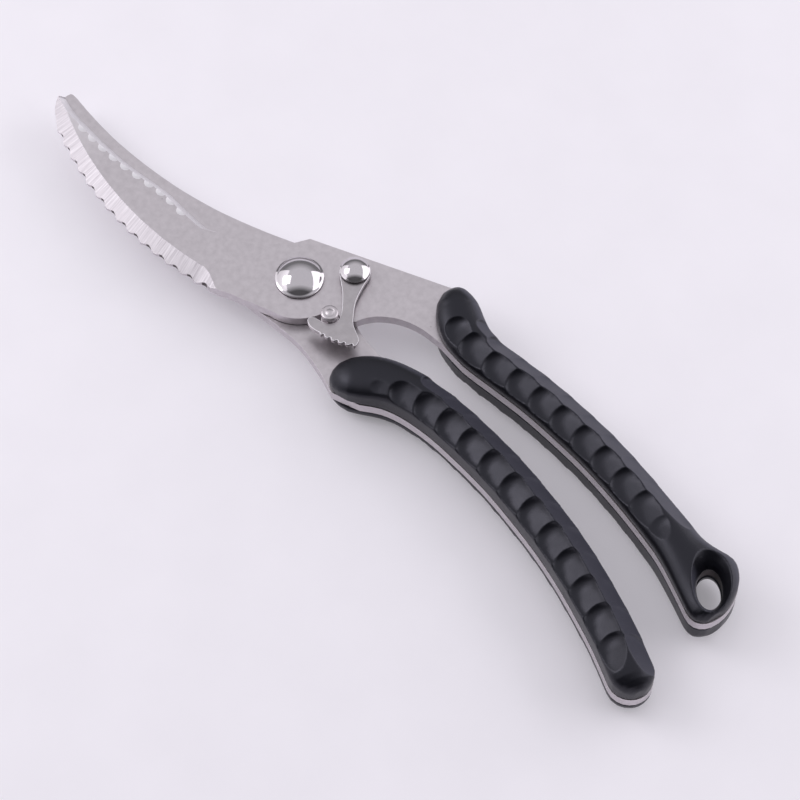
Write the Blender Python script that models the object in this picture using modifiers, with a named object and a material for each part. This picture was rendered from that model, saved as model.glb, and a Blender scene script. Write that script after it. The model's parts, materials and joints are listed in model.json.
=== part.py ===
# Poultry shears: two stamped steel levers on a riveted pivot, plastic grip scales screwed to both tangs,
# a hook latch over a grooved stud, and a torsion spring in the pivot.
# Lengths are metres. The working frame has the pivot axis at x = y = 0 and the table at z = 0; blades run
# to -X and handles to +X. The last lines move everything so that the bottom centre is the world origin.

import math

import bmesh
import bpy
from mathutils import Vector

# Plates and clearances
PLATE_THICKNESS = 0.0032
PLATE_GAP = 0.0003
SEAT_GAP = 0.0003
CUT_MARGIN = 0.0010

# Front and back blade
BLADE_REACH = 0.0970
EDGE_DROP = 0.0098
SPINE_RADIUS = 0.1200
SPINE_DEPTH = 0.0234
SPINE_SETBACK = 0.0460
WAVE_COUNT = 14
WAVE_PITCH = 0.0053
WAVE_HEIGHT = 0.0009
WAVE_HEEL = 0.0308
SPINE_BEVEL_WIDTH = 0.0035
SPINE_EDGE_THICKNESS = 0.0012
SHEAR_BEVEL_WIDTH = 0.0023
SHEAR_EDGE_THICKNESS = 0.0003
BEVEL_RUN_OUT = 0.0060
BEVEL_STEPS = 37
SCALLOP_COUNT = 10
SCALLOP_PITCH = 0.0047
SCALLOP_RADIUS = 0.00184
SCALLOP_DEPTH = 0.0004
SCALLOP_SETBACK = 0.0019
SCALLOP_START = 0.0145

# Pivot
PIVOT_HEAD_RADIUS = 0.0070
PIVOT_RIM_HEIGHT = 0.0006
PIVOT_DOME_HEIGHT = 0.0027
PIVOT_SHANK_RADIUS = 0.0040
PIVOT_CLEARANCE = 0.0003
PIVOT_CAP_RADIUS = 0.0062
PIVOT_CAP_HEIGHT = 0.0024
PIVOT_CAP_DEPTH = 0.0014
PIVOT_WASHER_RADIUS = 0.0068
PIVOT_WASHER_THICKNESS = 0.0006

# Torsion spring
WIRE_RADIUS = 0.0004
COIL_RADIUS = 0.0055
COIL_TURNS = 1.6
COIL_RISE = 0.0022
LEG_LENGTH = 0.0032
SPRING_CLEARANCE = 0.0004
SPRING_LEG_ANGLE = 150.0
OPENING_ANGLE = 28.0

# Latch and lock stud
LATCH_X = 0.0102
LATCH_Y = 0.01205
LATCH_THICKNESS = 0.0015
LATCH_BOSS_RADIUS = 0.0045
LATCH_POCKET_CLEARANCE = 0.00035
LATCH_TEETH = 5
LATCH_TOOTH_DEPTH = 0.0006
LATCH_WASHER_RADIUS = 0.0036
LATCH_WASHER_THICKNESS = 0.0004
LATCH_RIVET_HEAD_RADIUS = 0.0043
LATCH_RIVET_RIM_HEIGHT = 0.0005
LATCH_RIVET_DOME_HEIGHT = 0.0017
LATCH_RIVET_RADIUS = 0.0020
STUD_ORBIT = 0.0165
STUD_ANGLE = -10.7
STUD_RADIUS = 0.0025
STUD_NECK_RADIUS = 0.0011
STUD_FOOT_RADIUS = 0.0020
STUD_HEAD_HEIGHT = 0.0015
STUD_CLEARANCE = 0.0005
FOOT_FLARE = 0.0007
FOOT_RECESS = 0.0002

# Handles
HANDLE_REACH = 0.1570
HANDLE_SPREAD = 0.0300
HANDLE_THICKNESS = 0.0190
GRIP_WIDTH = 0.0126
GRIP_HEAD_SWELL = 0.00055
GRIP_HEAD_LENGTH = 0.0090
GRIP_FLANK_HEIGHT = 0.0045
FLANK_ROUND = 0.8
NOSE_LENGTH = 0.0400
NOSE_DROP = 0.75
TAIL_LENGTH = 0.0200
TAIL_DROP = 0.3
GRIP_DRAFT = 0.0003
RIDGE_OFFSET = 0.0005
SCOOP_PITCH = 0.0088
STATIONS_PER_SCOOP = 4
SCOOP_DEPTH = 0.0011
FAR_FLANK_SCOOP = 0.6
FRONT_SCOOPS = 11
BACK_SCOOPS = 12
FRONT_SCOOP_START = 0.0110
BACK_SCOOP_START = 0.0195
HOLE_LENGTH = 0.0126
HOLE_WIDTH = 0.0076
HOLE_FLARE = 0.0022
HOLE_UNDER_FLARE = 0.0034
HOLE_TURN = -34.0
BOSS_END_WALL = 0.0044
BOSS_SIDE_WALL = 0.00295
BOSS_TURN = -56.8
BOSS_SHIFT = 0.0006
NEAR_FLARE = 0.0023
NEAR_FLARE_LENGTH = 0.0170
NEAR_FLARE_POWER = 1.3
FAR_FLARE = 0.0084
FAR_FLARE_LENGTH = 0.0150
FAR_FLARE_POWER = 1.9

# Grip screws
SCREW_COUNT = 3
SCREW_START = 0.0140
FRONT_SCREW_SETBACK = 0.0210
BACK_SCREW_SETBACK = 0.0110
SCREW_RADIUS = 0.0014
SCREW_HEAD_RADIUS = 0.0024
SCREW_HEAD_HEIGHT = 0.0016
SCREW_SEAT = 0.0026
SCREW_ENGAGEMENT = 0.0032
SCREW_SOCKET_RADIUS = 0.0011
SCREW_SOCKET_DEPTH = 0.0008

# Levels that follow from the sizes above
LEVEL = HANDLE_THICKNESS / 2
BACK_TOP = LEVEL - PLATE_GAP / 2
BACK_BOTTOM = BACK_TOP - PLATE_THICKNESS
FRONT_BOTTOM = LEVEL + PLATE_GAP / 2
FRONT_TOP = FRONT_BOTTOM + PLATE_THICKNESS
LATCH_WASHER_BOTTOM = FRONT_TOP + SEAT_GAP
LATCH_BOTTOM = LATCH_WASHER_BOTTOM + LATCH_WASHER_THICKNESS + SEAT_GAP
LATCH_TOP = LATCH_BOTTOM + LATCH_THICKNESS
COIL_LOW = LEVEL - COIL_RISE / 2
COIL_HIGH = LEVEL + COIL_RISE / 2
POCKET_LOW = COIL_LOW - WIRE_RADIUS - SPRING_CLEARANCE
POCKET_HIGH = COIL_HIGH + WIRE_RADIUS + SPRING_CLEARANCE
POCKET_RADIUS = COIL_RADIUS + WIRE_RADIUS + SPRING_CLEARANCE
LEG_REACH = COIL_RADIUS + LEG_LENGTH
LEG_TIP = LEG_REACH + SPRING_CLEARANCE
PIVOT = Vector((0.0, 0.0))
LATCH_AXIS = Vector((LATCH_X, LATCH_Y))
STUD = Vector((math.cos(math.radians(STUD_ANGLE)), math.sin(math.radians(STUD_ANGLE)))) * STUD_ORBIT
LOBE_RADIUS = STUD_ORBIT - STUD_RADIUS - STUD_CLEARANCE
NOTCH_RADIUS = STUD_RADIUS + STUD_CLEARANCE
SPINE_CENTRE = Vector((-SPINE_SETBACK, SPINE_RADIUS - SPINE_DEPTH))

# Start from an empty scene with one collection for the parts and one for the cutters
for old in list(bpy.data.objects):
    bpy.data.objects.remove(old, do_unlink=True)
scene = bpy.context.scene
parts = bpy.data.collections.new("poultry_shears")
cutters = bpy.data.collections.new("cutters")
scene.collection.children.link(parts)
scene.collection.children.link(cutters)

# The root carries the front lever; the two empties sit on the hinge axes and carry what turns there
root = bpy.data.objects.new("shears_root", None)
pivot_axis = bpy.data.objects.new("pivot_axis", None)
latch_axis = bpy.data.objects.new("latch_axis", None)
for empty in (root, pivot_axis, latch_axis):
    parts.objects.link(empty)
pivot_axis.parent = root
latch_axis.parent = root
latch_axis.location = (LATCH_X, LATCH_Y, LATCH_BOTTOM)


def finish(name, colour, roughness, metallic):
    material = bpy.data.materials.new(name)
    material.use_nodes = True
    shader = material.node_tree.nodes["Principled BSDF"]
    shader.inputs["Base Color"].default_value = (*colour, 1.0)
    shader.inputs["Roughness"].default_value = roughness
    shader.inputs["Metallic"].default_value = metallic
    return material


PLATE_STEEL = finish("satin_steel", (0.50, 0.49, 0.50), 0.38, 1.0)
POLISHED_STEEL = finish("polished_steel", (0.62, 0.61, 0.62), 0.12, 1.0)
SPRING_STEEL = finish("spring_steel", (0.35, 0.35, 0.37), 0.35, 1.0)
BLACK_PLASTIC = finish("black_plastic", (0.018, 0.018, 0.020), 0.42, 0.0)


def tidy(mesh):
    work = bmesh.new()
    work.from_mesh(mesh)
    bmesh.ops.remove_doubles(work, verts=work.verts, dist=0.000001)
    bmesh.ops.recalc_face_normals(work, faces=work.faces)
    work.to_mesh(mesh)
    work.free()


def baked(source):
    """Turn a curve or a mesh with modifiers into a plain mesh object of the same name."""
    name = source.name
    place = source.matrix_world.copy()
    graph = bpy.context.evaluated_depsgraph_get()
    mesh = bpy.data.meshes.new_from_object(source.evaluated_get(graph))
    bpy.data.objects.remove(source, do_unlink=True)
    tidy(mesh)
    solid = bpy.data.objects.new(name, mesh)
    solid.matrix_world = place
    return solid


def as_part(solid, material, parent):
    solid.data.materials.clear()
    solid.data.materials.append(material)
    parts.objects.link(solid)
    solid.parent = parent
    return solid


def slab(name, outline, low, high):
    """A flat plate: a closed outline filled and extruded between two levels."""
    curve = bpy.data.curves.new(name, "CURVE")
    curve.dimensions = "2D"
    curve.fill_mode = "BOTH"
    curve.extrude = (high - low) / 2
    line = curve.splines.new("POLY")
    line.points.add(len(outline) - 1)
    for point, place in zip(line.points, outline):
        point.co = (place[0], place[1], 0.0, 1.0)
    line.use_cyclic_u = True
    source = bpy.data.objects.new(name, curve)
    source.location.z = (high + low) / 2
    scene.collection.objects.link(source)
    bpy.context.view_layer.update()
    return baked(source)


def turned(name, profile, segments, closed=False):
    """A turned solid: a profile of (radius, height) from top to bottom, screwed once round Z."""
    mesh = bpy.data.meshes.new(name)
    count = len(profile)
    edges = [(i, i + 1) for i in range(count - 1)]
    if closed:
        edges.append((count - 1, 0))
    mesh.from_pydata([(radius, 0.0, height) for radius, height in profile], edges, [])
    source = bpy.data.objects.new(name, mesh)
    scene.collection.objects.link(source)
    screw = source.modifiers.new("turn", "SCREW")
    screw.axis = "Z"
    screw.angle = math.tau
    screw.steps = segments
    screw.render_steps = segments
    screw.use_merge_vertices = True
    screw.merge_threshold = 0.00001
    bpy.context.view_layer.update()
    return baked(source)


def loft(name, sections):
    """A closed body through rings of equal point count, capped at both ends."""
    mesh = bpy.data.meshes.new(name)
    ring = len(sections[0])
    points = [point for section in sections for point in section]
    faces = []
    for row in range(len(sections) - 1):
        for i in range(ring):
            j = (i + 1) % ring
            faces.append((row * ring + i, row * ring + j, (row + 1) * ring + j, (row + 1) * ring + i))
    faces.append(tuple(range(ring)))
    faces.append(tuple(range((len(sections) - 1) * ring, len(sections) * ring)))
    mesh.from_pydata(points, [], faces)
    tidy(mesh)
    return bpy.data.objects.new(name, mesh)


def cut(target, cutter):
    """Take the cutter out of the target with a live Boolean."""
    if cutter.name not in cutters.objects:
        cutters.objects.link(cutter)
        cutter.hide_render = True
        cutter.display_type = "WIRE"
        cutter.parent = target.parent
    boolean = target.modifiers.new(cutter.name, "BOOLEAN")
    boolean.operation = "DIFFERENCE"
    boolean.solver = "EXACT"
    boolean.object = cutter


def drill(name, centre, radius, low, high, segments=18):
    bore = turned(name, [(0.0, high), (radius, high), (radius, low), (0.0, low)], segments)
    bore.location = (centre[0], centre[1], 0.0)
    return bore


def spline(points, steps=6):
    """Smooth line through the given points (Catmull-Rom)."""
    places = [Vector(point) for point in points]
    ends = [places[0] * 2 - places[1]] + places + [places[-1] * 2 - places[-2]]
    line = []
    for i in range(1, len(ends) - 2):
        before, start, stop, after = ends[i - 1], ends[i], ends[i + 1], ends[i + 2]
        for step in range(steps):
            t = step / steps
            straight = start * 2 + (stop - before) * t
            bend = (before * 2 - start * 5 + stop * 4 - after) * t * t
            twist = (start * 3 - before - stop * 3 + after) * t * t * t
            line.append((straight + bend + twist) / 2)
    line.append(places[-1])
    return line


def arc(centre, radius, start, stop, steps):
    line = []
    for step in range(steps + 1):
        angle = math.radians(start + (stop - start) * step / steps)
        line.append(centre + Vector((math.cos(angle), math.sin(angle))) * radius)
    return line


def scaled(points, across, along):
    return [Vector((x * across, y * along)) for x, y in points]


def spring_room(name, start, stop, low, high):
    """Pocket cutter for the spring: a round for the coil with a sector for one leg."""
    outline = arc(PIVOT, POCKET_RADIUS, stop, start + 360.0, 28) + arc(PIVOT, LEG_TIP, start, stop, 6)
    return slab(name, outline, low, high)


def dome(radius, rim, rise, base, steps=4):
    """Head profile from the crown down to its rim: a cap of a ball on a short straight side."""
    ball = (radius * radius + rise * rise) / (2 * rise)
    tilt = math.asin(radius / ball)
    line = []
    for step in range(steps + 1):
        angle = tilt * step / steps
        line.append((ball * math.sin(angle), base + rim + rise - ball * (1 - math.cos(angle))))
    line.append((radius, base))
    return line


# Handle lines: the centre line of each grip from its head to its end, as shares of reach and spread
FRONT_LINE = scaled(
    [(0.216, 1.00), (0.245, 0.843), (0.283, 0.723), (0.330, 0.667), (0.401, 0.697), (0.472, 0.730),
     (0.544, 0.737), (0.622, 0.727), (0.705, 0.683), (0.783, 0.620), (0.859, 0.540), (0.941, 0.447)],
    HANDLE_REACH, HANDLE_SPREAD)
BACK_LINE = scaled(
    [(0.190, -0.527), (0.213, -0.407), (0.258, -0.210), (0.314, -0.100), (0.384, -0.042), (0.459, -0.035),
     (0.536, -0.052), (0.608, -0.097), (0.687, -0.165), (0.758, -0.253), (0.827, -0.363), (0.891, -0.480),
     (0.954, -0.620), (0.994, -0.707)],
    HANDLE_REACH, HANDLE_SPREAD)


class Line:
    """A smooth centre line that can be read at any distance from its first point."""

    def __init__(self, points):
        self.points = spline(points)
        self.marks = [0.0]
        for a, b in zip(self.points, self.points[1:]):
            self.marks.append(self.marks[-1] + (b - a).length)
        self.length = self.marks[-1]

    def at(self, distance):
        last = len(self.points) - 2
        i = 0
        while i < last and self.marks[i + 1] < distance:
            i += 1
        a, b = self.points[i], self.points[i + 1]
        along = (b - a).normalized()
        return a + along * (distance - self.marks[i]), along


front_line = Line(FRONT_LINE)
back_line = Line(BACK_LINE)
HOLE_CENTRE, HOLE_ALONG = front_line.at(front_line.length)
BOSS_LONG = HOLE_LENGTH / 2 + BOSS_END_WALL
BOSS_SHORT = HOLE_WIDTH / 2 + BOSS_SIDE_WALL


def oval_axes(degrees):
    """Long and short directions of an oval turned from the handle's own direction at the hole."""
    turn = math.radians(degrees)
    long_way = Vector((HOLE_ALONG.x * math.cos(turn) - HOLE_ALONG.y * math.sin(turn),
                       HOLE_ALONG.x * math.sin(turn) + HOLE_ALONG.y * math.cos(turn)))
    return long_way, Vector((-long_way.y, long_way.x))


HOLE_AXIS, HOLE_SIDE = oval_axes(HOLE_TURN)
BOSS_AXIS, BOSS_SIDE = oval_axes(BOSS_TURN)
BOSS_CENTRE = HOLE_CENTRE + Vector((-HOLE_ALONG.y, HOLE_ALONG.x)) * BOSS_SHIFT


def boss_chord(centre, side):
    """Where a line across the handle enters and leaves the oval boss round the hanging hole."""
    gap = centre - BOSS_CENTRE
    p, q = gap.dot(BOSS_AXIS) / BOSS_LONG, gap.dot(BOSS_SIDE) / BOSS_SHORT
    m, k = side.dot(BOSS_AXIS) / BOSS_LONG, side.dot(BOSS_SIDE) / BOSS_SHORT
    a, b, c = m * m + k * k, p * m + q * k, p * p + q * q - 1
    root_of = b * b - a * c
    if root_of <= 0:
        return None
    return (-b - math.sqrt(root_of)) / a, (-b + math.sqrt(root_of)) / a


def flare(short, reach, growth, power):
    """Extra half width where the handle widens towards the boss, by distance short of the hole."""
    return growth * max(0.0, 1 - short / reach) ** power


def stations(line, with_boss):
    """Cross stations of a grip: centre, side direction, half width each way, distance, crown share."""
    head = [GRIP_HEAD_LENGTH * (1 - math.cos(math.radians(a))) for a in (8, 26, 46, 68)]
    tail_length = 0.0 if with_boss else GRIP_WIDTH / 2
    plain = line.length - GRIP_HEAD_LENGTH - tail_length
    count = round(plain / (SCOOP_PITCH / STATIONS_PER_SCOOP))
    spots = head + [GRIP_HEAD_LENGTH + plain * i / count for i in range(count + 1)]
    if with_boss:
        reach = math.hypot(BOSS_LONG * HOLE_ALONG.dot(BOSS_AXIS), BOSS_SHORT * HOLE_ALONG.dot(BOSS_SIDE))
        spots += [line.length + reach * math.sin(math.radians(a)) for a in (15, 30, 44, 57, 70, 82)]
    else:
        spots += [line.length - tail_length * (1 - math.cos(math.radians(a))) for a in (72, 54, 38, 22, 7)]
    rows = []
    for spot in spots:
        centre, along = line.at(spot)
        side = Vector((-along.y, along.x))
        swell = (spot - GRIP_HEAD_LENGTH * 1.4) / GRIP_HEAD_LENGTH
        half = GRIP_WIDTH / 2 + GRIP_HEAD_SWELL * math.exp(-swell * swell * 2)
        crown = 1.0
        if spot < GRIP_HEAD_LENGTH:
            crown = math.sqrt(1 - (1 - spot / GRIP_HEAD_LENGTH) ** 2)
        right = left = half * crown
        if not with_boss and spot > line.length - tail_length:
            crown = math.sqrt(1 - ((spot - line.length + tail_length) / tail_length) ** 2)
            right = left = half * crown
        chord = boss_chord(centre, side) if with_boss else None
        if chord and spot > line.length:
            right, left = -chord[0], chord[1]
            crown = min(1.0, (left + right) / GRIP_WIDTH)
        elif with_boss:
            short = line.length - spot
            right += flare(short, NEAR_FLARE_LENGTH, NEAR_FLARE, NEAR_FLARE_POWER)
            if chord:
                left = max(left, chord[1])
            else:
                left += flare(short, FAR_FLARE_LENGTH, FAR_FLARE, FAR_FLARE_POWER)
        rows.append((centre, side, right, left, spot, crown))
    return rows


FRONT_STATIONS = stations(front_line, True)
BACK_STATIONS = stations(back_line, False)


def edge(rows, sign, first):
    """One long edge of a grip, from a station near its head to its end."""
    if sign > 0:
        return [centre + side * left for centre, side, right, left, spot, crown in rows[first:]]
    return [centre - side * right for centre, side, right, left, spot, crown in rows[first:]]


# Front blade outline: cutting edge, shoulder, tang, arch, stud notch, lobe and wavy spine
front_shear = Line(scaled(
    [(-1.0, -0.71), (-0.937, -0.865), (-0.84, -0.925), (-0.74, -0.945), (-0.65, -0.895), (-0.57, -0.79),
     (-0.50, -0.715), (-0.42, -0.735), (-0.34, -0.72), (-0.272, -0.68)],
    BLADE_REACH, EDGE_DROP))
front_heel = spline(scaled(
    [(-0.272, -0.68), (-0.216, -0.40), (-0.165, 0.0), (-0.131, 0.40), (-0.103, 0.73)],
    BLADE_REACH, EDGE_DROP), 4)
front_corner = scaled([(-0.485, 0.68)], STUD_ORBIT, STUD_ORBIT)
arch = spline(scaled(
    [(2.62, 0.875), (2.16, 0.83), (1.80, 0.70), (1.52, 0.49), (1.37, 0.28), (1.30, 0.10)],
    STUD_ORBIT, STUD_ORBIT), 5)
notch = arc(STUD, NOTCH_RADIUS, 40.0, 175.0, 10)
lobe = arc(PIVOT, LOBE_RADIUS, STUD_ANGLE - 2.0, -80.0, 12)
throat = spline(scaled([(-0.02, -0.87), (-0.30, -0.98), (-0.60, -1.09), (-0.735, -1.16)],
                       STUD_ORBIT, STUD_ORBIT), 4)


def spine_point(arc_length, outward):
    """A point on the scaling edge, by distance along its curve from the lowest point towards the heel."""
    angle = arc_length / SPINE_RADIUS
    return SPINE_CENTRE + Vector((math.sin(angle), -math.cos(angle))) * (SPINE_RADIUS + outward)


spine = []
WAVE_STEPS = 6
for step in range(WAVE_COUNT * WAVE_STEPS + 1):
    phase = step / WAVE_STEPS
    crest = WAVE_HEIGHT * (1 + math.cos(math.tau * phase)) / 2
    spine.append(spine_point(WAVE_HEEL - WAVE_PITCH * phase, crest))
SPINE_END = WAVE_HEEL - WAVE_PITCH * WAVE_COUNT
tip_line = spline([spine[-1], *scaled([(-0.955, -1.42), (-0.982, -1.22), (-1.0, -0.94), (-1.0, -0.71)],
                                      BLADE_REACH, EDGE_DROP)], 4)
front_tang = edge(FRONT_STATIONS, 1, 0) + edge(FRONT_STATIONS, -1, 10)[::-1]
front_outline = (front_shear.points[:-1] + front_heel + front_corner + front_tang + arch + notch + lobe + throat
                 + spine + tip_line[1:-1])
front_blade = as_part(slab("front_blade", front_outline, FRONT_BOTTOM, FRONT_TOP), PLATE_STEEL, root)

# Back blade outline: plain spine, hidden shoulder, tang, neck and cutting edge
back_spine = spline(scaled(
    [(-1.004, -0.58), (-0.992, -0.44), (-0.911, -0.515), (-0.828, -0.57), (-0.752, -0.58), (-0.645, -0.52),
     (-0.515, -0.36), (-0.398, -0.11), (-0.316, 0.13), (-0.212, 0.50), (-0.121, 0.88)],
    BLADE_REACH, EDGE_DROP), 6)
shoulder = spline(scaled(
    [(-0.50, 0.62), (-0.305, 0.70), (0.10, 0.75), (0.61, 0.62), (0.98, 0.366), (1.31, 0.146), (1.61, 0.08),
     (1.95, 0.04)],
    STUD_ORBIT, STUD_ORBIT), 5)
neck = spline(scaled(
    [(1.97, -1.06), (1.48, -0.915), (0.915, -0.817), (0.41, -0.83), (-0.05, -0.875), (-0.33, -0.893)],
    STUD_ORBIT, STUD_ORBIT), 5)
back_shear = Line(scaled(
    [(-1.004, -0.72), (-0.928, -1.12), (-0.773, -1.50), (-0.567, -1.69), (-0.361, -1.74), (-0.186, -1.63)],
    BLADE_REACH, EDGE_DROP))
back_tang = edge(BACK_STATIONS, 1, 9) + edge(BACK_STATIONS, -1, 4)[::-1]
back_outline = back_spine + shoulder + back_tang + neck + back_shear.points[::-1]
back_blade = as_part(slab("back_blade", back_outline, BACK_BOTTOM, BACK_TOP), PLATE_STEEL, pivot_axis)


def bevel(name, rows, face, edge_level, clear, outreach):
    """Bevel cutter along an edge: each row is a point on the edge, the inward direction and the width."""
    sections = []
    for point, inward, width in rows:
        slope = (face - edge_level) / width
        inner = point + inward * ((clear - edge_level) / slope)
        outer = point - inward * outreach
        sections.append([(inner.x, inner.y, clear), (outer.x, outer.y, edge_level - slope * outreach),
                         (outer.x, outer.y, clear)])
    return loft(name, sections)


def along_edge(line, width, side):
    """Bevel rows from just before a line's start; over its last stretch they lead off the plate."""
    rows = []
    for step in range(BEVEL_STEPS + 1):
        spot = (line.length + CUT_MARGIN) * step / BEVEL_STEPS - CUT_MARGIN
        point, ahead = line.at(spot)
        inward = Vector((ahead.y, -ahead.x)) * side
        leave = max(0.0, 1 - (line.length - spot) / BEVEL_RUN_OUT) * width * 1.3
        rows.append((point - inward * leave, inward, width))
    return rows


# Grinds of the front blade: the wavy spine bevel, the shear bevel and its scallops
spine_rows = []
bevel_heel = WAVE_HEEL + WAVE_PITCH * 0.4
bevel_end = SPINE_END - WAVE_PITCH * 2.2
for step in range(BEVEL_STEPS + 1):
    place = bevel_heel + (bevel_end - bevel_heel) * step / BEVEL_STEPS
    leave = max(0.0, 1 - (bevel_heel - place) / BEVEL_RUN_OUT) * (SPINE_BEVEL_WIDTH + WAVE_HEIGHT)
    point = spine_point(place, leave)
    spine_rows.append((point, (SPINE_CENTRE - point).normalized(), SPINE_BEVEL_WIDTH))
cut(front_blade, bevel("front_spine_bevel", spine_rows, FRONT_TOP, FRONT_BOTTOM + SPINE_EDGE_THICKNESS,
                       FRONT_TOP + CUT_MARGIN, WAVE_HEIGHT + CUT_MARGIN))
cut(front_blade, bevel("front_shear_bevel", along_edge(front_shear, SHEAR_BEVEL_WIDTH, 1), FRONT_TOP,
                       FRONT_BOTTOM + SHEAR_EDGE_THICKNESS, FRONT_TOP + CUT_MARGIN, CUT_MARGIN))
BALL_RADIUS = (SCALLOP_RADIUS ** 2 + SCALLOP_DEPTH ** 2) / (2 * SCALLOP_DEPTH)
for number in range(SCALLOP_COUNT):
    spot, ahead = front_shear.at(SCALLOP_START + SCALLOP_PITCH * number)
    spot = spot + Vector((ahead.y, -ahead.x)) * SCALLOP_SETBACK
    bpy.ops.mesh.primitive_uv_sphere_add(segments=12, ring_count=8, radius=BALL_RADIUS, location=(
        spot.x, spot.y, FRONT_TOP + BALL_RADIUS - SCALLOP_DEPTH))
    ball = bpy.context.object
    ball.name = f"scallop_{number + 1}"
    for holder in list(ball.users_collection):
        holder.objects.unlink(ball)
    cut(front_blade, ball)

# Grind of the back blade, on its underside
cut(back_blade, bevel("back_shear_bevel", along_edge(back_shear, SHEAR_BEVEL_WIDTH, -1), BACK_BOTTOM,
                      BACK_TOP - SHEAR_EDGE_THICKNESS, BACK_BOTTOM - CUT_MARGIN, CUT_MARGIN))

# Pivot: rivet through both plates, washer and cap below, spring between the plates
head_base = FRONT_TOP + SEAT_GAP
washer_top = BACK_BOTTOM - SEAT_GAP
washer_base = washer_top - PIVOT_WASHER_THICKNESS
cap_top = washer_base - SEAT_GAP
cap_base = cap_top - PIVOT_CAP_HEIGHT
shank_end = cap_top - PIVOT_CAP_DEPTH + SEAT_GAP
PIVOT_BORE = PIVOT_SHANK_RADIUS + PIVOT_CLEARANCE
rivet_profile = dome(PIVOT_HEAD_RADIUS, PIVOT_RIM_HEIGHT, PIVOT_DOME_HEIGHT, head_base)
rivet_profile += [(PIVOT_SHANK_RADIUS, head_base), (PIVOT_SHANK_RADIUS, shank_end), (0.0, shank_end)]
pivot_rivet = as_part(turned("pivot_rivet", rivet_profile, 28), POLISHED_STEEL, root)
washer_profile = [(PIVOT_BORE, washer_top), (PIVOT_WASHER_RADIUS, washer_top),
                  (PIVOT_WASHER_RADIUS, washer_base), (PIVOT_BORE, washer_base)]
pivot_washer = as_part(turned("pivot_washer", washer_profile, 24, closed=True), PLATE_STEEL, root)
cap_floor = cap_top - PIVOT_CAP_DEPTH
cap_profile = [(0.0, cap_floor), (PIVOT_BORE, cap_floor), (PIVOT_BORE, cap_top), (PIVOT_CAP_RADIUS, cap_top),
               (PIVOT_CAP_RADIUS, cap_base + PIVOT_CAP_HEIGHT * 0.4), (PIVOT_CAP_RADIUS * 0.8, cap_base),
               (0.0, cap_base)]
pivot_cap = as_part(turned("pivot_cap", cap_profile, 24), POLISHED_STEEL, root)

cut(front_blade, drill("front_pivot_bore", PIVOT, PIVOT_BORE, LEVEL, FRONT_TOP + CUT_MARGIN, 24))
cut(back_blade, drill("back_pivot_bore", PIVOT, PIVOT_BORE, BACK_BOTTOM - CUT_MARGIN, LEVEL, 24))
coil_end = SPRING_LEG_ANGLE + 360.0 * COIL_TURNS
leg_room = math.degrees((WIRE_RADIUS + SPRING_CLEARANCE) / COIL_RADIUS)
cut(back_blade, spring_room("back_spring_room", SPRING_LEG_ANGLE - leg_room,
                            SPRING_LEG_ANGLE + OPENING_ANGLE + leg_room, POCKET_LOW, LEVEL))
cut(front_blade, spring_room("front_spring_room", coil_end - leg_room, coil_end + leg_room, LEVEL, POCKET_HIGH))

coil_points = []
COIL_STEPS = round(10 * COIL_TURNS)
for step in range(COIL_STEPS + 1):
    share = step / COIL_STEPS
    angle = math.radians(SPRING_LEG_ANGLE + 360.0 * COIL_TURNS * share)
    height = COIL_LOW + COIL_RISE * share
    coil_points.append(Vector((COIL_RADIUS * math.cos(angle), COIL_RADIUS * math.sin(angle), height)))


def leg(angle, height):
    direction = Vector((math.cos(math.radians(angle)), math.sin(math.radians(angle)), 0.0))
    return direction * LEG_REACH + Vector((0.0, 0.0, height))


wire_points = [leg(SPRING_LEG_ANGLE, COIL_LOW)] + coil_points + [leg(coil_end, COIL_HIGH)]
wire = bpy.data.curves.new("torsion_spring", "CURVE")
wire.dimensions = "3D"
wire.bevel_depth = WIRE_RADIUS
wire.bevel_resolution = 1
wire.use_fill_caps = True
strand = wire.splines.new("POLY")
strand.points.add(len(wire_points) - 1)
for point, place in zip(strand.points, wire_points):
    point.co = (*place, 1.0)
coil_source = bpy.data.objects.new("torsion_spring", wire)
scene.collection.objects.link(coil_source)
bpy.context.view_layer.update()
torsion_spring = as_part(baked(coil_source), SPRING_STEEL, root)
TURN_POINTS = 6
spans = [(a - b).length for i, a in enumerate(coil_points) for b in coil_points[i + TURN_POINTS:]]
print(f"least gap between spring turns {(min(spans) - 2 * WIRE_RADIUS) * 1000:.2f} mm")

# Lock stud: fixed in the back blade, runs along the lobe of the front blade, grooved for the latch
shoulder_top = LATCH_BOTTOM - SEAT_GAP
groove_top = LATCH_TOP + SEAT_GAP
foot_low = BACK_BOTTOM + FOOT_RECESS
stud_profile = dome(STUD_RADIUS, STUD_HEAD_HEIGHT * 0.5, STUD_HEAD_HEIGHT * 0.5, groove_top, 3)
stud_profile += [(STUD_NECK_RADIUS, groove_top), (STUD_NECK_RADIUS, shoulder_top), (STUD_RADIUS, shoulder_top),
                 (STUD_RADIUS, BACK_TOP + SEAT_GAP), (STUD_FOOT_RADIUS, BACK_TOP + SEAT_GAP),
                 (STUD_FOOT_RADIUS, foot_low + FOOT_FLARE), (STUD_FOOT_RADIUS + FOOT_FLARE, foot_low),
                 (0.0, foot_low)]
lock_stud = as_part(turned("lock_stud", stud_profile, 18), POLISHED_STEEL, pivot_axis)
lock_stud.location = (STUD.x, STUD.y, 0.0)


def riveted_bore(name, centre, radius, low, high):
    """Hole with a flared lower mouth for a rivet foot."""
    wide = radius + SEAT_GAP
    mouth = low + FOOT_RECESS + FOOT_FLARE
    end = low - CUT_MARGIN
    bore = turned(name, [(0.0, high), (wide, high), (wide, mouth), (wide + mouth - end, end), (0.0, end)], 24)
    bore.location = (centre[0], centre[1], 0.0)
    return bore


cut(back_blade, riveted_bore("stud_bore", STUD, STUD_FOOT_RADIUS, BACK_BOTTOM, BACK_TOP + CUT_MARGIN))

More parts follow.
